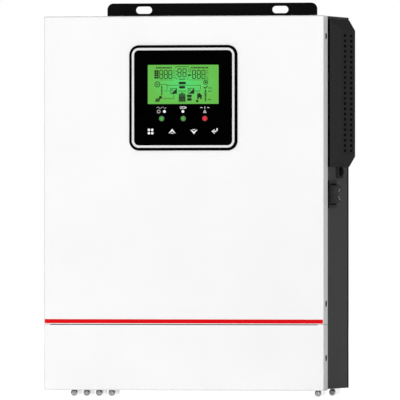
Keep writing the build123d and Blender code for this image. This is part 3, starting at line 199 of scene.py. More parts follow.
@dataclass(frozen=True)
class Skin(Nodes):
    """The nodes of a material that a finish dresses.

    Attributes:
        shader: Its Principled shader.
        place: Object coordinates in metres, which are the row frame's at rest.
    """

    shader: bpy.types.Node
    place: Socket

    def feed(self, inputs: Inputs) -> None:
        """Fills or links some of the shader's inputs."""
        self.fill(self.shader, inputs)

    def pattern(self, kind: str, size_mm: float, inputs: Inputs | None = None, **settings: Any) -> Any:
        """Adds a texture, as add does, whose features are about size_mm wide."""
        sized = {"Vector": self.place, "Scale": 1 / (size_mm * MM), **(inputs or {})}
        return self.add(kind, sized, **settings)

    def ridges(self, value: Socket, width: float) -> Socket:
        """Gives ridges side by side along a value, one for each width, from 0 to 1 high."""
        wave = self.add("Math", {0: value, 1: width / 2}, operation="PINGPONG")[0]
        return self.add("MapRange", {"Value": wave, "From Max": width / 2})[0]

    def overlay(
        self, tone: str, pattern: Socket, start: float = 0.0, end: float = 1.0, onto: str = "Base Color"
    ) -> Socket:
        """Lays a tone over the shader's colour, where a pattern goes from start to end.

        Args:
            tone: The tone in sRGB hex.
            pattern: What decides where the tone lies.
            start: Its value where the tone begins to show.
            end: Its value where the tone is full, above or below start.
            onto: The shader's input that takes it.

        Returns:
            The tone's share, from 0 to 1.
        """
        under = self.shader.inputs[onto]
        colour = under.links[0].from_socket if under.is_linked else tuple(under.default_value)
        share = self.add("MapRange", {"Value": pattern, "From Min": start, "From Max": end})[0]
        self.feed({onto: self.add("Mix", {0: share, 6: colour, 7: linear(tone)}, data_type="RGBA")[2]})
        return share

    def gloss(self, pattern: Socket, less: float, more: float, ends: Pair = (0.3, 0.7)) -> None:
        """Varies the roughness round its mean with a pattern.

        Args:
            pattern: What decides where. A noise keeps mostly to 0.3 to 0.7.
            less: How far the roughness goes below its mean.
            more: How far it goes above.
            ends: The pattern's values at those ends.
        """
        mean = self.shader.inputs["Roughness"].default_value
        known = {"Value": pattern, "From Min": ends[0], "From Max": ends[1]}
        wanted = {"To Min": mean - less, "To Max": mean + more}
        self.feed({"Roughness": self.add("MapRange", {**known, **wanted})[0]})

    def emboss(self, height: Socket, relief_mm: float, **settings: Any) -> None:
        """Gives the surface a relief of so many millimetres by a height from 0 to 1."""
        inputs = {"Height": height, "Distance": relief_mm * MM, "Strength": 1.0}
        self.feed({"Normal": self.add("Bump", inputs, **settings)[0]})


# ---- finishes


@dataclass(frozen=True)
class Finish:
    """A surface finish. A subclass adds its pattern in dress.

    Attributes:
        title: The material's name, for the real material and how its surface was made.
        colour: Its base colour in sRGB hex.
        tone: The second colour, which its pattern lays over the first.
        roughness: Its mean roughness.
        metallic: 1 for bare metal, 0 for the rest.
        specular: Share of the usual reflection; below 0.5 the surface shines less than clear plastic.
    """

    title: str
    colour: str
    tone: str
    roughness: float
    metallic: float = 0.0
    specular: float = 0.5

    def material(self) -> bpy.types.Material:
        """Builds the material, or finds the one already built under this title.

        Returns:
            The material.
        """
        found = bpy.data.materials.get(self.title)
        if found is not None:
            return found
        made = bpy.data.materials.new(self.title)
        made.use_nodes = True
        tree = made.node_tree
        skin = Skin(tree, tree.nodes["Principled BSDF"], Nodes(tree).add("TexCoord")["Object"])
        base = {"Base Color": linear(self.colour), "Roughness": self.roughness}
        skin.feed({**base, "Metallic": self.metallic, "Specular IOR Level": self.specular})
        self.dress(skin)
        return made

    def dress(self, skin: Skin) -> None:
        """Adds the finish's own pattern.

        Args:
            skin: The material's nodes.
        """


@dataclass(frozen=True)
class PowderCoat(Finish):
    """Baked polyester powder on sheet steel: a faint orange peel, and a tone where it is thinner.

    Attributes:
        cloud_mm: Width of the thinner patches.
        peel_mm: Width of the peel's ripples. The real ones are near 1 mm; it is drawn at 2 mm to show.
        peel_relief_mm: Their height.
    """

    cloud_mm: float = 55.0
    peel_mm: float = 2.0
    peel_relief_mm: float = 0.012

    def dress(self, skin: Skin) -> None:
        """Gives the coat a cloudy thickness, peel and a roughness that follows it.

        Args:
            skin: The material's nodes.
        """
        cloud = skin.pattern("TexNoise", self.cloud_mm, {"Detail": 3.0})[0]
        peel = skin.pattern("TexNoise", self.peel_mm, {"Detail": 2.0})[0]
        skin.overlay(self.tone, cloud, start=0.35, end=0.7)
        skin.gloss(peel, less=0.05, more=0.05)
        skin.emboss(peel, self.peel_relief_mm)


@dataclass(frozen=True)
class FoldShadedCoat(PowderCoat):
    """The same powder on a folded cover, with painted shade over its upper and left front folds, which turn
    away from the light.

    Attributes:
        fold: Colour of the painted shade over those folds.
        turn: How much of that colour a surface takes that faces right, to the wall and up. Below 0,
            it is the surface that faces the other way.
        front_y: Where the cover's face is, in metres.
        fold_mm: How far back from the face the folds reach.
    """

    fold: str = "#A4A4A4"
    turn: Triple = (-0.6, 0.0, 1.0)
    front_y: float = 0.0
    fold_mm: float = 2.5

    def dress(self, skin: Skin) -> None:
        """Adds the painted shade where the surface turns up or to the left, close behind the face.

        Args:
            skin: The material's nodes.
        """
        super().dress(skin)
        # Painted shade: set by which way the surface faces and how close it lies behind the face.
        normal = skin.add("NewGeometry")["Normal"]
        turned = skin.add("VectorMath", {0: normal, 1: self.turn}, operation="DOT_PRODUCT")["Value"]
        depth = skin.add("SeparateXYZ", {0: skin.place})[1]
        limit = self.front_y + self.fold_mm * MM
        near = skin.add("MapRange", {"Value": depth, "From Min": limit + FADE, "From Max": limit})[0]
        skin.overlay(self.fold, skin.add("Math", {0: turned, 1: near}, operation="MULTIPLY")[0])


@dataclass(frozen=True)
class MouldedPlastic(Finish):
    """Injection-moulded plastic with the grain of an eroded mould, which has paler tops.

    Attributes:
        grain_mm: Width of the grain. A real mould gives 0.3 mm; it is drawn at about 1 mm to show.
        grain_relief_mm: Its height.
        flow_mm: Width of the waves of gloss that the melt's flow leaves.
    """

    grain_mm: float = 1.0
    grain_relief_mm: float = 0.02
    flow_mm: float = 30.0

    def dress(self, skin: Skin) -> None:
        """Gives the grain, its tops and the slow waves of gloss.

        Args:
            skin: The material's nodes.
        """
        grain = skin.pattern("TexVoronoi", self.grain_mm)["Distance"]
        flow = skin.pattern("TexNoise", self.flow_mm, {"Detail": 2.0})[0]
        skin.overlay(self.tone, grain, start=0.1, end=0.8)
        skin.gloss(flow, less=0.06, more=0.06)
        skin.emboss(grain, self.grain_relief_mm)


@dataclass(frozen=True)
class EdgeShadowPlastic(MouldedPlastic):
    """The same plastic with a painted shadow: a black line along its front edge, where the cover's flange
    shades it.

    Attributes:
        edge: Colour of the painted shadow line.
        edge_y: Where the edge is, in metres.
        edge_mm: How far the line reaches back from there.
    """

    edge: str = "#010101"
    edge_y: float = 0.0
    edge_mm: float = 0.2

    def dress(self, skin: Skin) -> None:
        """Adds the painted shadow line to the plastic, by the distance from its front edge, and ends it
        sharply.

        Args:
            skin: The material's nodes.
        """
        super().dress(skin)
        # Painted shadow: the black lies on what is within edge_mm of the front edge.
        depth = skin.add("SeparateXYZ", {0: skin.place})[1]
        limit = self.edge_y + self.edge_mm * MM
        skin.overlay(self.edge, depth, limit + FADE / 10, limit)


@dataclass(frozen=True)
class PolishedPanel(Finish):
    """Back-printed acrylic or a smooth film: even colour, hard gloss, a breath of handling haze.

    Attributes:
        haze_mm: Width of the haze's patches.
    """

    haze_mm: float = 18.0

    def dress(self, skin: Skin) -> None:
        """Adds the haze, in the colour and in the gloss.

        Args:
            skin: The material's nodes.
        """
        cloud = skin.pattern("TexNoise", self.haze_mm, {"Detail": 4.0})[0]
        skin.overlay(self.tone, cloud, start=0.4, end=0.75)
        skin.gloss(cloud, less=0.0, more=0.08, ends=(0.35, 0.75))


@dataclass(frozen=True)
class BacklitGlass(Finish):
    """A liquid-crystal cell lit from behind: it glows, in its tone round the middle.

    Attributes:
        glass: Colour of the unlit glass.
        strength: How strongly it glows.
        half_mm: Half the width and half the height over which the glow falls off.
        grain_mm: Width of the diffuser's faint unevenness.
        waver: How much that shifts the fall-off, either way.
        centre: The window's middle in the row frame, in metres.
    """

    glass: str = "#0A160A"
    strength: float = 0.94
    half_mm: Pair = (36.0, 19.5)
    grain_mm: float = 6.0
    waver: float = 0.06
    centre: Triple = (0.0, 0.0, 0.0)

    def dress(self, skin: Skin) -> None:
        """Lights the cell by its distance from the middle.

        Args:
            skin: The material's nodes.
        """
        size = (self.half_mm[0] * MM, 1.0, self.half_mm[1] * MM)
        offset = skin.add("VectorMath", {0: skin.place, 1: self.centre}, operation="SUBTRACT")[0]
        scaled = skin.add("VectorMath", {0: offset, 1: size}, operation="DIVIDE")[0]
        away = skin.add("VectorMath", {0: scaled}, operation="LENGTH")["Value"]
        grain = skin.pattern("TexNoise", self.grain_mm)[0]
        spread = {"From Min": 0.2, "From Max": 0.8, "To Min": -self.waver, "To Max": self.waver}
        shift = skin.add("MapRange", {"Value": grain, **spread})[0]
        reach = skin.add("Math", {0: away, 1: shift}, operation="ADD")[0]
        skin.feed({"Base Color": linear(self.glass), "Emission Strength": self.strength})
        skin.feed({"Emission Color": linear(self.colour)})
        skin.overlay(self.tone, reach, start=0.95, end=0.0, onto="Emission Color")


@dataclass(frozen=True)
class LampLens(Finish):
    """A polycarbonate lens: the lamp's colour in its middle, its own tone round it, a milky rim.

    Attributes:
        rim: Colour of the milky rim.
        centres: The lenses' middles along X and Z, in metres.
        core_mm: Radius of the lamp's own colour.
        rim_mm: Radius at which the rim begins.
        strength: How strongly it glows.
        milk: How much light spreads under the surface.
    """

    rim: str = "#FFFFFF"
    centres: tuple[Pair, ...] = ()
    core_mm: float = 1.1
    rim_mm: float = 2.0
    strength: float = 0.42
    milk: float = 0.2

    def dress(self, skin: Skin) -> None:
        """Colours each lens by the distance from its own axis, and lights it in that colour.

        Args:
            skin: The material's nodes.
        """
        flat = skin.add("VectorMath", {0: skin.place, 1: (1.0, 0.0, 1.0)}, operation="MULTIPLY")[0]
        away: Any = 1.0  # farther than any lens
        for x, z in self.centres:
            gap = skin.add("VectorMath", {0: flat, 1: (x, 0.0, z)}, operation="DISTANCE")["Value"]
            away = skin.add("Math", {0: gap, 1: away}, operation="MINIMUM")[0]
        core, rim = self.core_mm * MM, self.rim_mm * MM
        skin.overlay(self.tone, away, core / 2, core)
        skin.overlay(self.rim, away, rim - FADE, rim + FADE)
        lit = skin.shader.inputs["Base Color"].links[0].from_socket
        skin.feed({"Emission Color": lit, "Emission Strength": self.strength, "Subsurface Weight": self.milk})


@dataclass(frozen=True)
class PlatedMetal(Finish):
    """Zinc-plated or blackened steel: bare metal with cloudy passivation.

    Attributes:
        cloud_mm: Width of the clouds.
    """

    cloud_mm: float = 3.0

    def dress(self, skin: Skin) -> None:
        """Clouds the plating's colour, gloss and thickness.

        Args:
            skin: The material's nodes.
        """
        cloud = skin.pattern("TexNoise", self.cloud_mm, {"Detail": 3.0})[0]
        skin.overlay(self.tone, cloud, start=0.35, end=0.7)
        skin.gloss(cloud, less=0.08, more=0.1)
        skin.emboss(cloud, relief_mm=0.01)


@dataclass(frozen=True)
class LinedMetal(Finish):
    """Extruded or turned metal: fine lines along one way.

    Attributes:
        stretch: How the pattern is squeezed along the axes; the lines run along the smallest, X.
        line_mm: Their spacing. Real die lines are finer; these are drawn at 0.7 mm to show.
    """

    stretch: Triple = (0.02, 1.0, 1.0)
    line_mm: float = 0.7

    def dress(self, skin: Skin) -> None:
        """Stretches a noise along the metal's working direction.

        Args:
            skin: The material's nodes.
        """
        drawn = skin.add("VectorMath", {0: skin.place, 1: self.stretch}, operation="MULTIPLY")[0]
        lines = skin.pattern("TexNoise", self.line_mm, {"Vector": drawn, "Detail": 3.0})[0]
        skin.overlay(self.tone, lines, start=0.35, end=0.65)
        skin.gloss(lines, less=0.07, more=0.1)
        skin.emboss(lines, relief_mm=0.015)


@dataclass(frozen=True)
class CircuitBoard(Finish):
    """Glass-epoxy board under green solder resist: copper tracks show through, with tinned pads.

    Attributes:
        pad: Colour of the tinned pads.
        cell_mm: Width of the squares that the tracks run round.
        uneven: How unevenly the squares lie, from 0 to 1.
        step: From one track to the next, as a share of a square.
        pad_mm: Spacing of the pads.
    """

    pad: str = "#B9BBBD"
    cell_mm: float = 7.8
    uneven: float = 0.9
    step: float = 0.12
    pad_mm: float = 4.16

    def dress(self, skin: Skin) -> None:
        """Draws stepped tracks as the borders of square cells, and a pad in some of them.

        Args:
            skin: The material's nodes.
        """
        cells = skin.pattern("TexVoronoi", self.cell_mm, {"Randomness": self.uneven}, distance="MANHATTAN")
        waves = skin.add("Math", {0: cells["Distance"], 1: self.step}, operation="PINGPONG")[0]
        dots = skin.pattern("TexVoronoi", self.pad_mm)["Distance"]
        skin.emboss(skin.overlay(self.tone, waves, start=0.05, end=0.07), relief_mm=0.04)
        skin.feed({"Metallic": skin.overlay(self.pad, dots, start=0.2, end=0.16)})


class Turn(enum.Enum):
    """How a wire lies on its core."""

    ROUND_A_LIMB = "limb"
    THROUGH_A_RING = "ring"


@dataclass(frozen=True)
class WoundWire(Finish):
    """Enamelled copper wire wound in close, rounded turns, with its tone as painted shade in the grooves.

    Attributes:
        wire_mm: The wire's diameter with its enamel.
        turn: How the turns lie.
        centres: Middle of each of two rings along X and Z, in metres, for turns through a ring.
        turns: Number of turns round a ring.
    """

    wire_mm: float = 1.4
    turn: Turn = Turn.ROUND_A_LIMB
    centres: tuple[Pair, ...] = ()
    turns: int = 60

    def dress(self, skin: Skin) -> None:
        """Makes one ridge per turn, across the limb or fanned round the ring, with painted shade in the
        grooves.

        Args:
            skin: The material's nodes.
        """
        parts = skin.add("SeparateXYZ", {0: skin.place})
        value, width = parts[0], self.wire_mm * MM
        if self.turn is Turn.THROUGH_A_RING:
            (left, height), (right, _) = self.centres
            half = (right - left) / 2
            shifted = skin.add("Math", {0: parts[0], 1: left}, operation="SUBTRACT")[0]
            own = skin.add("Math", {0: shifted, 1: -half, 2: half}, operation="WRAP")[0]
            rise = skin.add("Math", {0: parts[2], 1: height}, operation="SUBTRACT")[0]
            value = skin.add("Math", {0: rise, 1: own}, operation="ARCTAN2")[0]
            width = 2 * math.pi / self.turns
        ridge = skin.ridges(value, width)
        # Painted shade: the tone darkens the grooves between the turns.
        skin.overlay(self.tone, ridge, start=0.4, end=0.0)
        skin.emboss(ridge, self.wire_mm / 3)


@dataclass(frozen=True)
class ShrunkSleeve(Finish):
    """A PVC sleeve shrunk over an aluminium can, whose bare end shows in front.

    Attributes:
        can: Colour of the bare aluminium end.
        end_y: Where the can's front end is, in metres.
        edge_mm: How far the sleeve stops short of that end.
    """

    can: str = "#C6C8CA"
    end_y: float = 0.0
    edge_mm: float = 1.0

    def dress(self, skin: Skin) -> None:
        """Ends the sleeve just behind the can's front and runs the polarity stripe up one side.

        Args:
            skin: The material's nodes.
        """
        depth = skin.add("SeparateXYZ", {0: skin.place})[1]
        side = skin.add("SeparateXYZ", {0: skin.add("NewGeometry")["Normal"]})[0]
        limit = self.end_y + self.edge_mm * MM
        skin.overlay(self.tone, side, start=-0.9, end=-0.95)
        skin.feed({"Metallic": skin.overlay(self.can, depth, limit + FADE, limit)})


@dataclass(frozen=True)
class OpenFoam(Finish):
    """Reticulated polyurethane foam: thin struts round pores that are darkened as painted shade.

    Attributes:
        pore_mm: Width of the pores.
    """

    pore_mm: float = 1.2

    def dress(self, skin: Skin) -> None:
        """Cuts the surface into pores, darkens them as painted shade and sinks them."""
        pores = skin.pattern("TexVoronoi", self.pore_mm, feature="DISTANCE_TO_EDGE")["Distance"]
        # Painted shade: the tone darkens the pores.
        skin.emboss(skin.overlay(self.tone, pores, start=0.05, end=0.16), relief_mm=0.6, invert=True)


@dataclass(frozen=True)
class RibbonCable(Finish):
    """Flat PVC cable: parallel insulated wires, the first one marked in its tone.

    Attributes:
        pitch_mm: Spacing of the wires.
        top_z: Upper edge of the cable, in metres.
    """

    pitch_mm: float = 1.27
    top_z: float = 0.0

    def dress(self, skin: Skin) -> None:
        """Ridges the cable wire by wire and reddens the top one.

        Args:
            skin: The material's nodes.
        """
        rise = skin.add("SeparateXYZ", {0: skin.place})[2]
        down = skin.add("Math", {0: self.top_z, 1: rise}, operation="SUBTRACT")[0]
        pitch = self.pitch_mm * MM
        skin.overlay(self.tone, down, pitch * 1.05, pitch)
        skin.emboss(skin.ridges(down, pitch), relief_mm=0.4)


# Charcoal powder: mid-dark and satin, so the side reads as painted steel, not plastic.
CHARCOAL_POWDER = PowderCoat("powder-coated steel, charcoal", "#4C4C4D", "#4A4A4B", 0.6, specular=0.018)
# The back panel is the same powder, darkened as painted shade: it stays in the wall's shade.
SHADED_BACK_POWDER = PowderCoat("powder-coated steel, charcoal, rear, painted shade", "#3A3A3B", "#383839", 0.6, specular=0.0)
# Black powder on the wall bracket: near black, only its edges catch light.
BLACK_POWDER = PowderCoat("powder-coated steel, black", "#0C0C0C", "#0A0A0A", 0.65, specular=0.03)
# Red vinyl trim film: saturated, smooth and even.
RED_FILM = PolishedPanel("calendered vinyl film, red", "#E20A14", "#DE0E18", 0.35, specular=0.03)
# Black ABS from an eroded mould: soft, dark and finely pitted.
BLACK_ABS = MouldedPlastic("moulded ABS, black", "#2A2A2A", "#2E2E2E", 0.7, specular=0.07)
# The display's rim is the same plastic from a polished mould, so it stays blacker.
RIM_ABS = MouldedPlastic(
    "moulded ABS, black, fine", "#020202", "#040404", 0.5, specular=0.005, grain_relief_mm=0.006
)
# Smooth black nylon for what fingers or air touch: rocker, button and fan rotors.
BLACK_NYLON = MouldedPlastic(
    "moulded nylon, black", "#3A3A3A", "#3E3E3E", 0.5, specular=0.005, grain_mm=1.6, grain_relief_mm=0.008
)
# Pale satin ring between the rim and the face panel.
SATIN_RING = MouldedPlastic(
    "painted ABS, pale satin", "#E2E2E3", "#E5E5E6", 0.4, specular=0.2, grain_mm=1.4, grain_relief_mm=0.004
)
# Black-printed acrylic: a deep, even black with a hard gloss.
BLACK_ACRYLIC = PolishedPanel("back-printed acrylic, black", "#000000", "#010101", 0.08, specular=0.002)
# Blackened screws: dark metal with a dull sheen.
BLACK_ZINC = PlatedMetal("blackened zinc-plated steel", "#1C1C1C", "#151515", 0.5, specular=0.03)
# The cover screws' black oxide drinks the light, even seen from the side.
BLACK_OXIDE = PlatedMetal("black-oxidised steel", "#101010", "#0C0C0C", 0.6, specular=0.0)
# Bright zinc: grey metal with a bluish cloud.
BRIGHT_ZINC = PlatedMetal("zinc-plated steel, bright", "#A6A7A9", "#8E8F90", 0.33, metallic=1.0)
# Dull zinc on the clamp screws: less of a mirror than the bright screws inside.
DULL_ZINC = PlatedMetal("zinc-plated steel, dull", "#A8A8AA", "#8A8A8C", 0.35, metallic=0.9)
# Zinc-plated sheet, much paler than the screws.
ZINC_SHEET = PlatedMetal("zinc-plated sheet steel", "#FAFAF8", "#EEEEEC", 0.3, metallic=0.95, cloud_mm=6.0)
# Turned brass: warm metal with fine lines.
TURNED_BRASS = LinedMetal("turned brass", "#C9A256", "#B08C48", 0.3, metallic=1.0)
# Extruded aluminium: pale metal with die lines along the fins.
EXTRUDED_ALUMINIUM = LinedMetal("extruded aluminium", "#C4C6C8", "#AEB0B2", 0.38, metallic=1.0)
# Glass-epoxy board: glossy green resist over copper.
BOARD_GREEN = CircuitBoard("glass-epoxy board, green resist", "#14532C", "#2C7A45", 0.35)
# Sintered ferrite: a dense, dull, slightly speckled dark grey.
FERRITE = MouldedPlastic(
    "sintered ferrite", "#2C2D2F", "#3A3B3D", 0.7, specular=0.3, grain_mm=0.9, grain_relief_mm=0.05
)
# White polycarbonate: clean and slightly glossy, for the display's frame, the fuse and the ports.
WHITE_POLYCARBONATE = MouldedPlastic("moulded polycarbonate, white", "#DEDED8", "#E4E4DE", 0.4)
# Blue relay cases, smooth and slightly glossy.
RELAY_BLUE = MouldedPlastic("moulded PBT, blue", "#1E3F86", "#234794", 0.35, grain_relief_mm=0.01)
# Green terminal blocks, glossier than the housings.
TERMINAL_GREEN = MouldedPlastic("moulded polyamide, green", "#237A3A", "#2A8843", 0.35, grain_relief_mm=0.01)
# Moulded rubber: matt, deep black, with a soft bloom.
GROMMET_RUBBER = MouldedPlastic(
    "moulded rubber, black", "#151515", "#1C1C1C", 0.8, specular=0.2, grain_mm=1.5
)
# Foam filter behind the vent: dull black, full of holes darkened as painted shade.
FILTER_FOAM = OpenFoam("reticulated polyurethane foam, painted pore shade", "#1C1C1C", "#050505", 0.9, specular=0.1)
# Enamelled copper: warm, glossy ridges, with painted shade darkening the grooves between the turns.
LIMB_WIRE = WoundWire("enamelled copper, wound, painted groove shade", "#A8481C", "#3A1608", 0.35)
# White screen ink on the face panel: bright and flat.
WHITE_INK = PolishedPanel("screen ink, white", "#F4F4F4", "#EEEEEE", 0.5, specular=0.2)
# Pale grey pad-printed ink on the rocker, duller than the panel's; its marks also stand in as a painted
# highlight on the rocker's faces.
GREY_INK_AND_HIGHLIGHT = PolishedPanel("pad-printed ink, pale grey, painted highlight", "#BEBEBE", "#B4B4B4", 0.5, specular=0.1)
# Liquid-crystal segments: dark green-black shapes inside the lit cell.
LCD_INK = PolishedPanel("liquid-crystal segment", "#263323", "#2A3726", 0.5, specular=0.02)


# ---- flat drawings


def arc_points(x: float, z: float, radius: float, turn: Pair, steps: int) -> list[Pair]:
    """Gives points along an arc between two angles in degrees, one more than its steps."""
    angles = (math.radians(turn[0] + (turn[1] - turn[0]) * i / steps) for i in range(steps + 1))
    return [(x + radius * math.cos(a), z + radius * math.sin(a)) for a in angles]


@dataclass
class Drawing:
    """Flat shapes, in millimetres, that become one thin mesh: print, ink or segments.

    Attributes:
        name: Name of the piece.
        finish: What it is dressed in.
        thickness_mm: Its thickness.
        loops: The closed outlines drawn so far.
    """

    name: str
    finish: Finish
    thickness_mm: float = 0.05
    loops: list[Sequence[Pair]] = field(default_factory=list)

    def shape(self, *points: Pair) -> None:
        """Adds a filled outline."""
        self.loops.append(points)

    def bar(self, x: float, z: float, width: float, height: float) -> None:
        """Adds a rectangle round a middle."""
        w, h = width / 2, height / 2
        self.shape((x - w, z - h), (x + w, z - h), (x + w, z + h), (x - w, z + h))

    def row(self, start: Pair, size: Pair, count: int, step: Pair) -> None:
        """Adds equal bars of a size, the first round a start and the others each one step on."""
        for i in range(count):
            self.bar(start[0] + i * step[0], start[1] + i * step[1], *size)

    def pill(self, x: float, z: float, width: float, height: float) -> None:
        """Adds a bar with round ends.

        Args:
            x: Its middle, along.
            z: Its middle, up.
            width: Its width over the ends.
            height: Its height.
        """
        radius, reach = height / 2, (width - height) / 2
        ends = ((x + reach, (-90.0, 90.0)), (x - reach, (90.0, 270.0)))
        self.shape(*(point for middle, turn in ends for point in arc_points(middle, z, radius, turn, 5)))

    def disc(self, x: float, z: float, radius: float, sides: int = 28) -> None:
        """Adds a filled circle."""
        self.shape(*arc_points(x, z, radius, (0.0, 360.0), sides)[:-1])

    def stroke(self, width: float, *points: Pair) -> None:
        """Adds a line through points, one quadrilateral a run, overlapping at its corners.

        Args:
            width: Its width.
            *points: What it runs through.
        """
        for (x0, z0), (x1, z1) in zip(points, points[1:]):
            scale = width / 2 / math.hypot(x1 - x0, z1 - z0)
            ux, uz = (x1 - x0) * scale, (z1 - z0) * scale
            self.shape(
                (x0 - ux + uz, z0 - uz - ux), (x1 + ux + uz, z1 + uz - ux),
                (x1 + ux - uz, z1 + uz + ux), (x0 - ux - uz, z0 - uz + ux),
            )

    def arc(self, x: float, z: float, radius: float, width: float, turn: Pair = (0.0, 360.0)) -> None:
        """Adds a ring, or a part of one.

        Args:
            x: Its middle, along.
            z: Its middle, up.
            radius: Radius of its line.
            width: The line's width.
            turn: The angles it runs between, in degrees.
        """
        steps = max(4, int(abs(turn[1] - turn[0]) / 15))
        inner, outer = (arc_points(x, z, radius + side, turn, steps) for side in (-width / 2, width / 2))
        for i in range(steps):
            self.shape(inner[i], outer[i], outer[i + 1], inner[i + 1])

    def build(self, origin: Vector, along: Vector, up: Vector) -> bpy.types.Object:
        """Makes the mesh.

        Args:
            origin: Where the drawing's (0, 0) lies, on the surface, in metres.
            along: Direction of its x, a unit vector.
            up: Direction of its z, a unit vector.

        Returns:
            The new object, not yet riding on a body.
        """
        lift = along.cross(up).normalized() * (self.thickness_mm * MM)
        mesh = bmesh.new()
        for loop in self.loops:
            feet = [origin + along * (x * MM) + up * (z * MM) for x, z in loop]
            base = [mesh.verts.new(foot) for foot in feet]
            top = [mesh.verts.new(foot + lift) for foot in feet]
            mesh.faces.new(top)
            mesh.faces.new(reversed(base))
            for i in range(len(base)):
                mesh.faces.new((base[i - 1], base[i], top[i], top[i - 1]))
        bmesh.ops.recalc_face_normals(mesh, faces=mesh.faces)
        data = bpy.data.meshes.new(self.name)
        mesh.to_mesh(data)
        mesh.free()
        data.materials.append(self.finish.material())
        log.info("drew %s with %d shapes", self.name, len(self.loops))
        return add_object(self.name, data)


@dataclass
class CellSegments(Drawing):
    """The lit cell's segments: figures, flow lines and generic symbols.

    Attributes:
        figure_mm: Width, height and line width of a large figure.
    """

    name: str = "lcd_segments"
    finish: Finish = LCD_INK
    figure_mm: Triple = (3.1, 8.0, 0.82)

    def draw(self) -> None:
        """Draws all of them, from the top down."""
        for x in (-22.1, -17.5, -13.0, 10.7, 15.5, 20.2):
            self.draw_figure(x, 9.7)
        for x in (-3.8, 1.2):
            self.draw_figure(x, 11.4)
        for x in (-27.9, -25.7):
            for z in (13.0, 10.9, 8.8, 6.6):
                self.bar(x, z, 2.0, 1.9)
        for x, places in ((-9.2, (13.2, 11.1, 8.5, 6.4)), (24.0, (13.2, 11.0, 7.9, 5.9))):
            for i, z in enumerate(places):
                self.bar(x, z, 2.0 + 0.6 * (i % 2), 0.5)
        for start, count in ((-27.0, 12), (8.2, 13)):
            for i in range(count):
                self.bar(start + i * 1.35, 16.2, 1.05 - 0.25 * (i % 3 == 1), 1.5)
        self.draw_frame_round_figures()
        self.draw_flow()
        self.draw_converters()
        self.draw_battery_and_house()
        self.draw_solar_panel()
        self.draw_load_scale()

    def draw_figure(self, x: float, z: float) -> None:
        """Draws a seven-segment figure with all of its segments on.

        Args:
            x: Its middle, along.
            z: Its middle, up.
        """
        width, height, line = self.figure_mm
        half, quarter, inset = width / 2, height / 4, line * 0.75
        for level in (z - 2 * quarter, z, z + 2 * quarter):
            self.stroke(line, (x - half + inset, level), (x + half - inset, level))
        for side in (x - half, x + half):
            for level in (z - quarter, z + quarter):
                self.stroke(line, (side, level - quarter + inset), (side, level + quarter - inset))

    def draw_frame_round_figures(self) -> None:
        """Draws the broken frame round the two middle figures."""
        self.stroke(0.5, (-6.8, 17.3), (4.4, 17.3))
        for side, turn in ((-6.4, (100.0, 170.0)), (4.0, (10.0, 80.0))):
            self.arc(side, 15.8, 1.5, 0.5, turn)
        for side, turn in ((-5.4, (190.0, 255.0)), (3.0, (285.0, 350.0))):
            self.arc(side, 7.2, 2.2, 0.5, turn)
        for z in (12.8, 9.8):
            self.disc(-7.0, z, 0.55, 10)
        self.arc(6.2, 13.4, 1.4, 0.4)
        self.pill(6.1, 9.0, 3.4, 1.6)

    def draw_flow(self) -> None:
        """Draws the source, the flow lines and the labels between them."""
        self.arc(-26.0, 0.1, 2.5, 0.75)
        self.stroke(0.5, (-27.1, -0.2), (-26.4, 1.0), (-25.8, -0.8), (-25.0, 0.6))
        self.stroke(0.4, (-23.4, -0.1), (-16.3, -0.1), (-16.3, -0.9), (17.2, -0.9), (17.2, -5.2))
        self.stroke(0.4, (-16.3, -0.9), (-16.3, -5.6))
        self.stroke(0.4, (-20.8, -13.8), (-9.6, -13.8), (-9.6, -9.4))
        for left, right in ((-23.8, -10.6), (5.6, 25.6)):
            self.stroke(0.3, (left, 4.3), (right, 4.3))
        self.row((-19.4, -6.4), (0.9, 0.45), 5, (1.4, 0.0))
        self.row((-21.6, -1.9), (1.4, 0.95), 7, (0.0, -1.3))
        self.row((-4.6, -6.5), (1.05, 0.7), 6, (1.4, 0.0))
        self.row((11.8, -6.5), (1.05, 0.7), 4, (1.4, 0.0))
        self.bar(-1.2, 5.1, 6.4, 0.8)
        self.bar(6.1, -12.95, 4.4, 0.5)
        self.pill(-1.0, 1.3, 7.5, 2.6)
        self.pill(-1.2, -2.8, 6.3, 2.5)
        self.pill(6.1, -11.2, 5.2, 2.4)
        self.pill(6.1, -14.7, 4.9, 2.5)

    def draw_converters(self) -> None:
        """Draws the two converters: squares cut by a diagonal, each with a small wave."""
        for x in (-9.5, 7.9):
            self.stroke(0.5, (x - 3.1, -9.0), (x - 3.1, -3.9), (x + 2.8, -3.9))
            self.shape((x - 2.9, -9.2), (x + 3.1, -9.2), (x + 3.1, -3.7))
            self.stroke(0.55, (x - 2.3, -6.0), (x - 1.5, -5.0), (x - 0.7, -6.0))

    def draw_battery_and_house(self) -> None:
        """Draws the battery with its charge bars, and the load: a house, with a small fault dot."""
        self.bar(-1.2, -8.3, 1.8, 0.7)
        self.shape((-5.0, -10.1), (-3.6, -8.8), (1.2, -8.8), (2.6, -10.1))
        self.row((-1.2, -11.1), (6.8, 1.4), 4, (0.0, -1.5))
        self.bar(-1.2, -17.0, 7.8, 0.6)
        self.shape((13.4, -11.2), (16.2, -8.0), (19.0, -11.2))
        self.bar(14.4, -9.3, 0.9, 1.8)
        self.bar(16.2, -11.9, 4.6, 1.7)
        for x in (14.8, 17.6):
            self.bar(x, -13.5, 1.5, 1.8)
        self.disc(13.9, -16.2, 1.3, 14)

    def draw_solar_panel(self) -> None:
        """Draws the panel and its sun."""
        self.disc(-22.8, -12.5, 1.5, 14)
        self.stroke(0.6, (-23.6, -13.4), (-24.6, -14.2))
        for row in range(3):
            for column in range(3):
                x, z = -28.4 + column * 1.45 + row * 0.4, -16.9 + row * 1.15
                self.shape((x, z), (x + 1.35, z), (x + 1.7, z + 1.05), (x + 0.35, z + 1.05))

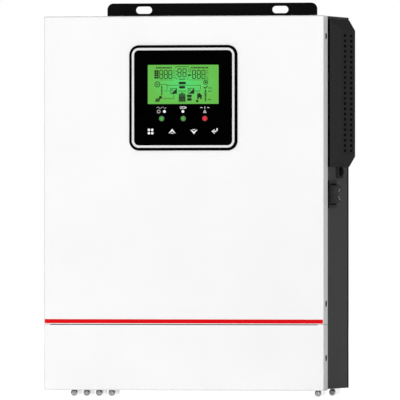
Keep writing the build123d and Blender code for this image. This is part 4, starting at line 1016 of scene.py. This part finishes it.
    def draw_load_scale(self) -> None:
        """Draws the load scale on the right: a dial over a falling wedge of bars."""
        self.arc(22.4, 2.0, 2.1, 0.65)
        self.bar(22.4, 2.0, 2.0, 1.7)
        self.stroke(0.9, (20.6, -2.7), (22.0, -4.0), (24.0, -1.8))
        self.disc(22.2, -6.4, 0.95, 10)
        for i in range(7):
            self.bar(22.2, -8.3 - i * 1.3, 2.4 - i * 0.18, 0.95)
        for start in ((25.6, -3.6), (25.4, -6.6), (24.8, -14.9)):
            self.row(start, (0.85, 0.9), 3, (1.2, 0.0))


@dataclass
class PanelPrint(Drawing):
    """The face panel's white print, measured from the middle of the lamps' row.

    Attributes:
        fault_x: Place of the fault lamp's column.
        symbols_z: Height of the status symbols.
        pictograms_z: Height of the pictograms over them.
        keys_z: Height of the touch symbols.
        keys_x: The touch symbols' places: menu, up, down and enter.
    """

    name: str = "panel_print"
    finish: Finish = WHITE_INK
    fault_x: float = 0.0
    symbols_z: float = 6.9
    pictograms_z: float = 10.6
    keys_z: float = -12.6
    keys_x: tuple[float, ...] = (-32.5, -10.9, 10.9, 32.0)

    def draw(self) -> None:
        """Draws the status symbols, the pictograms and the touch symbols."""
        x, z = self.fault_x, self.symbols_z
        self.arc(-24.4, z, 1.5, 0.35)
        self.disc(-18.6, z, 1.4)
        self.disc(-0.1, z, 1.4)
        left, right, top = (x - 1.5, z - 1.2), (x + 1.5, z - 1.2), (x, z + 1.5)
        self.stroke(0.4, left, right, top, left)
        self.bar(x, z - 0.2, 0.35, 0.9)
        self.draw_pictograms()
        self.draw_keys()

    def draw_pictograms(self) -> None:
        """Draws a wave, a battery and an exclamation mark between two dashes."""
        x, z = self.fault_x, self.pictograms_z
        self.stroke(0.45, *((-26.2 + i * 0.5, z + 0.95 * math.sin(i * math.pi / 4.5)) for i in range(19)))
        left, right, top, bottom = -2.9, 2.5, z + 1.0, z - 1.0
        self.stroke(0.4, (left, top), (left, bottom), (right, bottom), (right, top), (left, top))
        self.bar(3.1, z, 0.7, 1.0)
        self.stroke(0.4, (-1.5, z), (-0.3, z))
        self.stroke(0.4, (0.9, z), (1.9, z))
        self.bar(x, z + 0.35, 0.6, 1.4)
        self.bar(x, z - 0.95, 0.6, 0.5)
        for side in (x - 3.4, x + 3.4):
            self.stroke(0.5, (side - 0.9, z), (side + 0.9, z))

    def draw_keys(self) -> None:
        """Draws the four touch symbols: menu, up, down and enter."""
        (menu, up, down, enter), z = self.keys_x, self.keys_z
        for x in (menu - 1.65, menu + 1.65):
            for level in (z - 1.6, z + 1.6):
                self.disc(x, level, 1.3, 16)
        for x, way in ((up, 1.0), (down, -1.0)):
            for side in (-1.0, 1.0):
                tips = ((x + 3.5 * side, z - 1.7 * way), (x + 2.3 * side, z - 1.5 * way))
                self.shape(*tips, (x, z + 0.3 * way), (x, z + 2.7 * way))
            self.arc(x, z - 3.6 * way, 2.0, 0.6, (50.0 * way, 130.0 * way))
        head, neck = enter - 0.2, enter - 0.9
        self.shape((enter - 3.4, z), (head, z + 2.6), (neck, z + 0.7), (neck, z - 0.7), (head, z - 2.6))
        self.stroke(1.3, (enter - 1.0, z), (enter + 2.0, z), (enter + 2.0, z + 2.4))


# ---- sub-assemblies


@dataclass
class Assembly:
    """A sub-assembly of the inverter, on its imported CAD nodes.

    Attributes:
    """

    frame: dict[str, Any]

    def dress(self, finishes: dict[str, Finish]) -> None:
        """Gives every material slot of some CAD nodes their finish.

        Args:
            finishes: Each node's finish, by its name.
        """
        for node, finish in finishes.items():
            for slot in self.frame["nodes"][node].material_slots:
                slot.material = finish.material()
            log.info("dressed %s in %s", node, finish.title)

    def build(self) -> None:
        """Dresses the nodes and adds the drawn pieces."""


@dataclass
class Housing(Assembly):
    """The sheet-metal case: two white covers, charcoal panels, a trim strip and black screws.

    Attributes:
        covers: The folded white covers, from the top down.
        panels: The charcoal panels and the rail behind the seam.
        screws: The covers' black screws.
    """

    covers: tuple[str, ...] = ("upper_cover", "lower_cover")
    panels: tuple[str, ...] = (
        "side_panel_right", "side_panel_left", "top_panel", "bottom_panel", "front_rail",
    )
    screws: tuple[str, ...] = ("upper_cover_screws", "lower_cover_screws")

    def build(self) -> None:
        """Dresses the case's nodes."""
        # White polyester powder: a bright, even, satin skin with only a trace of texture, and painted shade
        # over its upper and left front folds.
        white = FoldShadedCoat(
            "powder-coated steel, white, painted fold shade", "#F8F8F8", "#F6F6F6", 0.5, specular=0.3,
            front_y=box_of(self.covers[0])[0].y,
        )
        self.dress(dict.fromkeys(self.covers, white))
        self.dress(dict.fromkeys(self.panels, CHARCOAL_POWDER))
        self.dress(dict.fromkeys(self.screws, BLACK_OXIDE))
        self.dress({"back_panel": SHADED_BACK_POWDER, "red_stripe": RED_FILM})


@dataclass
class WallMount(Assembly):
    """The slotted bracket and the lower spacer, with the screws that hold them."""

    def build(self) -> None:
        """Dresses the wall side's nodes."""
        self.dress({"wall_bracket": BLACK_POWDER, "lower_spacer": BLACK_POWDER})
        self.dress({"bracket_screws": BLACK_ZINC})


@dataclass
class DisplayPanel(Assembly):
    """The display: black rim, pale ring, printed face panel, lit cell, lamps and touch symbols."""

    def build(self) -> None:
        """Dresses the display's nodes and draws its segments and print."""
        low, _, middle = box_of("lcd_cell")
        # A twisted-nematic cell over a green backlight: an even glow, with only a little gloss.
        lit = BacklitGlass(
            "liquid-crystal cell, backlit green", "#67C04A", "#52DF72", 0.25, specular=0.05,
            centre=tuple(middle),
        )
        self.dress({
            "lcd_cell": lit, "display_housing": RIM_ABS, "display_ring": SATIN_RING,
            "face_panel": BLACK_ACRYLIC, "lcd_frame": WHITE_POLYCARBONATE, "display_board": BOARD_GREEN,
        })
        segments = CellSegments()
        segments.draw()
        piece = segments.build(Vector((middle.x, low.y, middle.z)), ALONG, UP)
        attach(piece, HOUSING_BODY)
        self.finish_face()

    def finish_face(self) -> None:
        """Dresses the lamps' lenses and prints the face panel round them."""
        panel_low, _, panel = box_of("face_panel")
        green_low, green_high, green = box_of("green_lamps")
        red = box_of("red_lamp")[2]
        radius = (green_high.z - green_low.z) / 2
        # Tinted polycarbonate: a bright core, a deeper body and a milky rim.
        green_lens = LampLens(
            "polycarbonate lens, green", "#3CAE3A", "#3A8431", 0.3, specular=0.05, rim="#587054",
            centres=((green_low.x + radius, green.z), (green_high.x - radius, green.z)),
        )
        red_lens = LampLens(
            "polycarbonate lens, red", "#DF2B35", "#C71D26", 0.3, specular=0.05, rim="#8A3C44",
            centres=((red.x, green.z),),
        )
        self.dress({"green_lamps": green_lens, "red_lamp": red_lens})
        face_print = PanelPrint(fault_x=(red.x - panel.x) / MM)
        face_print.draw()
        piece = face_print.build(Vector((panel.x, panel_low.y, green.z)), ALONG, UP)
        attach(piece, HOUSING_BODY)


@dataclass
class SideVents(Assembly):
    """The hipped, slotted covers on both sides, their thumb screws and the foam filter.

    Attributes:
        covers: The two covers.
    """

    covers: tuple[str, ...] = ("vent_cover_right", "vent_cover_left")

    def build(self) -> None:
        """Dresses the vents' nodes; each cover's front edge takes a painted shadow line."""
        # Black ABS from an eroded mould: soft and grey in the light, with a painted black shadow along its
        # front edge, where the white cover's flange shades it.
        plastic = EdgeShadowPlastic(
            "moulded ABS, black, painted edge shadow", "#3F3F3F", "#434343", 0.7, specular=0.0,
            edge_y=box_of(self.covers[0])[0].y,
        )
        self.dress(dict.fromkeys(self.covers, plastic))
        self.dress({"vent_cover_screws": BLACK_ZINC, "dust_filter": FILTER_FOAM})


@dataclass
class PowerSwitch(Assembly):
    """The rocker switch on the right side, with its on and off marks, which also serve as a painted highlight
    near the back of the rocker's faces.

    Attributes:
        mark_mm: Length of the on mark and diameter of the off mark.
        bar_mm: Width of the on mark.
        line_mm: Line width of the off mark.
        ink_mm: The ink's thickness.
        rise_mm: How much further the rocker's tips stand out than its valley.
        reach_mm: From the valley to a tip, up or down.
        mark_place_mm: From the valley to a mark's middle, along the face.
        mark_depth_mm: The marks' middle behind the rocker's, where the painted highlight sits.
    """

    mark_mm: float = 3.4
    bar_mm: float = 1.6
    line_mm: float = 1.0
    ink_mm: float = 0.04
    rise_mm: float = 2.7
    reach_mm: float = 6.4
    mark_place_mm: float = 4.1
    mark_depth_mm: float = 9.0

    def build(self) -> None:
        """Dresses the switch and prints its marks on the rocker's two faces, where they also stand as a
        painted highlight.
        """
        # The bezel's black ABS takes a painted black shadow along its front edge, where the white cover's
        # flange shades it.
        bezel = EdgeShadowPlastic(
            "moulded ABS, black, switch bezel, painted edge shadow", "#2A2A2A", "#2E2E2E", 0.7, specular=0.05,
            edge_y=box_of("switch_body")[0].y, edge_mm=0.55,
        )
        self.dress({"switch_body": bezel, "switch_rocker": BLACK_NYLON, "switch_blades": TURNED_BRASS})
        _, high, middle = box_of("switch_rocker")
        valley = Vector((high.x - self.rise_mm * MM, middle.y + self.mark_depth_mm * MM, middle.z))
        # The marks are real print that also serves as a painted highlight near the back of each face.
        on_mark_and_highlight = Drawing("switch_mark_on_and_highlight", GREY_INK_AND_HIGHLIGHT, self.ink_mm)
        on_mark_and_highlight.bar(0.0, self.mark_place_mm, self.bar_mm, self.mark_mm)
        off_mark_and_highlight = Drawing("switch_mark_off_and_highlight", GREY_INK_AND_HIGHLIGHT, self.ink_mm)
        off_mark_and_highlight.arc(0.0, self.mark_place_mm, self.mark_mm / 2, self.line_mm)
        for side, mark in ((1.0, on_mark_and_highlight), (-1.0, off_mark_and_highlight)):
            up = Vector((self.rise_mm, 0, side * self.reach_mm)).normalized()
            piece = mark.build(valley, Vector((0, side, 0)), up)
            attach(piece, "power_rocker")


@dataclass
class Fans(Assembly):
    """Two axial fans on the left side panel.

    Attributes:
        places: What tells them apart in the nodes' names.
    """

    places: tuple[str, ...] = ("lower", "upper")

    def build(self) -> None:
        """Dresses the fans' nodes."""
        for place in self.places:
            self.dress({f"fan_frame_{place}": BLACK_ABS, f"fan_rotor_{place}": BLACK_NYLON})
        self.dress({"fan_screws": BLACK_ZINC})


@dataclass
class PowerElectronics(Assembly):
    """The power board and what stands on it.

    Attributes:
        choke_turns: Turns of wire on each choke.
        choke_wire_mm: Its wire's diameter.
    """

    choke_turns: int = 58
    choke_wire_mm: float = 1.6

    def build(self) -> None:
        """Dresses the electronics' nodes."""
        self.dress({
            "power_board": BOARD_GREEN, "control_card": BOARD_GREEN, "board_posts": BRIGHT_ZINC,
            "board_screws": BRIGHT_ZINC, "heat_sink_upper": EXTRUDED_ALUMINIUM,
            "heat_sink_lower": EXTRUDED_ALUMINIUM, "power_transistors": RIM_ABS, "transformer_core": FERRITE,
            "transformer_winding": LIMB_WIRE, "relays": RELAY_BLUE, "terminal_blocks": TERMINAL_GREEN,
            "terminal_screws": BRIGHT_ZINC, "battery_posts": TURNED_BRASS, "battery_base": BLACK_ABS,
            "battery_nuts": BRIGHT_ZINC, "battery_fuse": WHITE_POLYCARBONATE,
        })
        low, high, middle = box_of("chokes")
        radius = (high.z - low.z) / 2
        # The windings' copper again, fanned round two rings, with the same painted shade in its grooves.
        ring_wire = WoundWire(
            "enamelled copper, toroid, painted groove shade", "#A8481C", "#3A1608", 0.35, wire_mm=self.choke_wire_mm,
            turns=self.choke_turns, turn=Turn.THROUGH_A_RING,
            centres=((low.x + radius, middle.z), (high.x - radius, middle.z)),
        )
        # Dark PVC sleeve over a bright can end.
        can_front = box_of("bus_capacitors")[0].y
        sleeve = ShrunkSleeve("shrunk PVC sleeve, dark blue", "#141B34", "#9AA3B4", 0.35, end_y=can_front)
        # Flat grey cable with ridged wires.
        ribbon_top = box_of("display_ribbon")[1].z
        ribbon = RibbonCable("extruded PVC, grey ribbon", "#9C9C9C", "#B03028", 0.5, top_z=ribbon_top)
        self.dress({"chokes": ring_wire, "bus_capacitors": sleeve, "display_ribbon": ribbon})


@dataclass
class BottomEntries(Assembly):
    """Grommets, clamp screws, earth screw, breaker and ports along the bottom."""

    def build(self) -> None:
        """Dresses the bottom's nodes."""
        self.dress({
            "cable_grommets": GROMMET_RUBBER, "clamp_lugs": ZINC_SHEET, "clamp_screws": DULL_ZINC,
            "reset_breaker": BLACK_ABS, "reset_button": BLACK_NYLON, "ports": WHITE_POLYCARBONATE,
            "earth_screw": BRIGHT_ZINC,
        })


# ---- studio


@dataclass
class Studio:
    """The floor, the lamps, the world and the camera.

    Attributes:
        azimuth_deg: The camera's turn to the right of the front.
        distance: From the camera to the point it looks at, in metres.
        lens_mm: Its focal length, on Blender's usual 36 mm sensor.
        aim: Where it looks in the row frame, in metres.
        camera_drop_mm: How far it stands below that point.
        ambient: The world's brightness on the object.
        key: What the key lamp adds to the front.
        rear: What the rear lamp adds to the wall side.
        lamp_distance: From a lamp to the object's middle, in metres.
        floor_width: The floor's side, in metres.
        floor_gap_mm: How far the floor lies below the object.
        floor_glow: The share of it that shows as plain white.
        glow_strength: How bright that is, above 1 to stay white over shade.
    """

    azimuth_deg: float = 13.74
    distance: float = 10.7
    lens_mm: float = 991.0
    aim: Triple = (0.01656, -0.119, -0.1872)
    camera_drop_mm: float = 33.7
    ambient: float = 0.272
    key: float = 0.592
    rear: float = 0.45
    lamp_distance: float = 8.0
    floor_width: float = 30.0
    floor_gap_mm: float = 0.5
    floor_glow: float = 0.75
    glow_strength: float = 1.25

    def build(self) -> None:
        """Builds the whole studio."""
        self.place_camera()
        self.lay_floor()
        self.hang_lamp("key", turn_deg=-4.0, rise_deg=16.0, brightness=self.key, size=4.0)
        self.hang_lamp("rear", turn_deg=200.0, rise_deg=24.0, brightness=self.rear, size=2.0)
        self.light_world()
        bpy.context.scene.view_settings.view_transform = "Standard"
        log.info("studio ready")

    def place_camera(self) -> None:
        """Puts the camera at the object's viewing angle."""
        data = bpy.data.cameras.new("camera")
        data.lens = self.lens_mm
        camera = add_object("camera", data)
        turn, aim = math.radians(self.azimuth_deg), Vector(self.aim)
        back = Vector((math.sin(turn), -math.cos(turn), 0)) * self.distance
        camera.location = aim + back - UP * (self.camera_drop_mm * MM)
        camera.rotation_euler = (aim - camera.location).to_track_quat("-Z", "Y").to_euler()
        bpy.context.scene.camera = camera

    def lay_floor(self) -> None:
        """Lays a pale floor just under the object, which keeps a soft shadow."""
        mesh = bmesh.new()
        bmesh.ops.create_grid(mesh, x_segments=8, y_segments=8, size=self.floor_width / 2)
        data = bpy.data.meshes.new("floor")
        mesh.to_mesh(data)
        mesh.free()
        floor = add_object("floor", data)
        floor.location = UP * (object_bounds()[0][2] - self.floor_gap_mm * MM)
        material = bpy.data.materials.new("studio floor, white")
        material.use_nodes = True
        nodes = Nodes(material.node_tree)
        shader = nodes.tree.nodes["Principled BSDF"]
        nodes.fill(shader, {"Base Color": linear("#F7F7F7"), "Roughness": 0.9, "Specular IOR Level": 0.0})
        glow = nodes.add("Emission", {"Color": linear("#FFFFFF"), "Strength": self.glow_strength})[0]
        inputs = {0: nodes.seen_directly(), 1: self.floor_glow}
        share = nodes.add("Math", inputs, operation="MULTIPLY")[0]
        mixed = nodes.add("MixShader", {0: share, 1: shader.outputs[0], 2: glow})[0]
        nodes.fill(nodes.tree.nodes["Material Output"], {"Surface": mixed})
        data.materials.append(material)
        floor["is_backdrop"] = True

    def hang_lamp(self, name: str, turn_deg: float, rise_deg: float, brightness: float, size: float) -> None:
        """Hangs one large, soft, square lamp that faces the object.

        Args:
            name: The lamp's name.
            turn_deg: Its turn to the right of the front.
            rise_deg: Its angle above the floor.
            brightness: How bright a white face turned squarely to the front or to the wall becomes.
            size: The lamp's side, in metres.
        """
        turn, rise = math.radians(turn_deg), math.radians(rise_deg)
        way = Vector((math.sin(turn) * math.cos(rise), -math.cos(turn) * math.cos(rise), math.sin(rise)))
        data = bpy.data.lights.new(name, "AREA")
        data.shape = "SQUARE"
        data.size = size
        data.energy = brightness * (math.pi * self.lamp_distance) ** 2 / abs(way.y)
        lamp = add_object(name, data)
        middle = sum((Vector(corner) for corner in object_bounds()), Vector()) / 2
        lamp.location = middle + way * self.lamp_distance
        lamp.rotation_euler = (-way).to_track_quat("-Z", "Y").to_euler()

    def light_world(self) -> None:
        """Makes the world a soft, even light that shows as plain white."""
        world = bpy.data.worlds.new("studio")
        bpy.context.scene.world = world
        world.use_nodes = True
        nodes = Nodes(world.node_tree)
        soft = nodes.tree.nodes["Background"]
        nodes.fill(soft, {"Color": linear("#FFFFFF"), "Strength": self.ambient})
        white = nodes.add("Background", {"Color": linear("#FFFFFF"), "Strength": 1.0})[0]
        mixed = nodes.add("MixShader", {0: nodes.seen_directly(), 1: soft.outputs[0], 2: white})[0]
        nodes.fill(nodes.tree.nodes["World Output"], {"Surface": mixed})


def main() -> None:
    """Dresses the frame, adds the drawn pieces and sets up the studio."""
    logging.basicConfig(level=logging.INFO, format="%(message)s")
    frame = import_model()
    Studio().build()
    for part in (
        Housing, WallMount, DisplayPanel, SideVents, PowerSwitch, Fans, PowerElectronics, BottomEntries,
    ):
        part(frame).build()
        log.info("built %s", part.__name__)


if __name__ == "__main__":
    main()
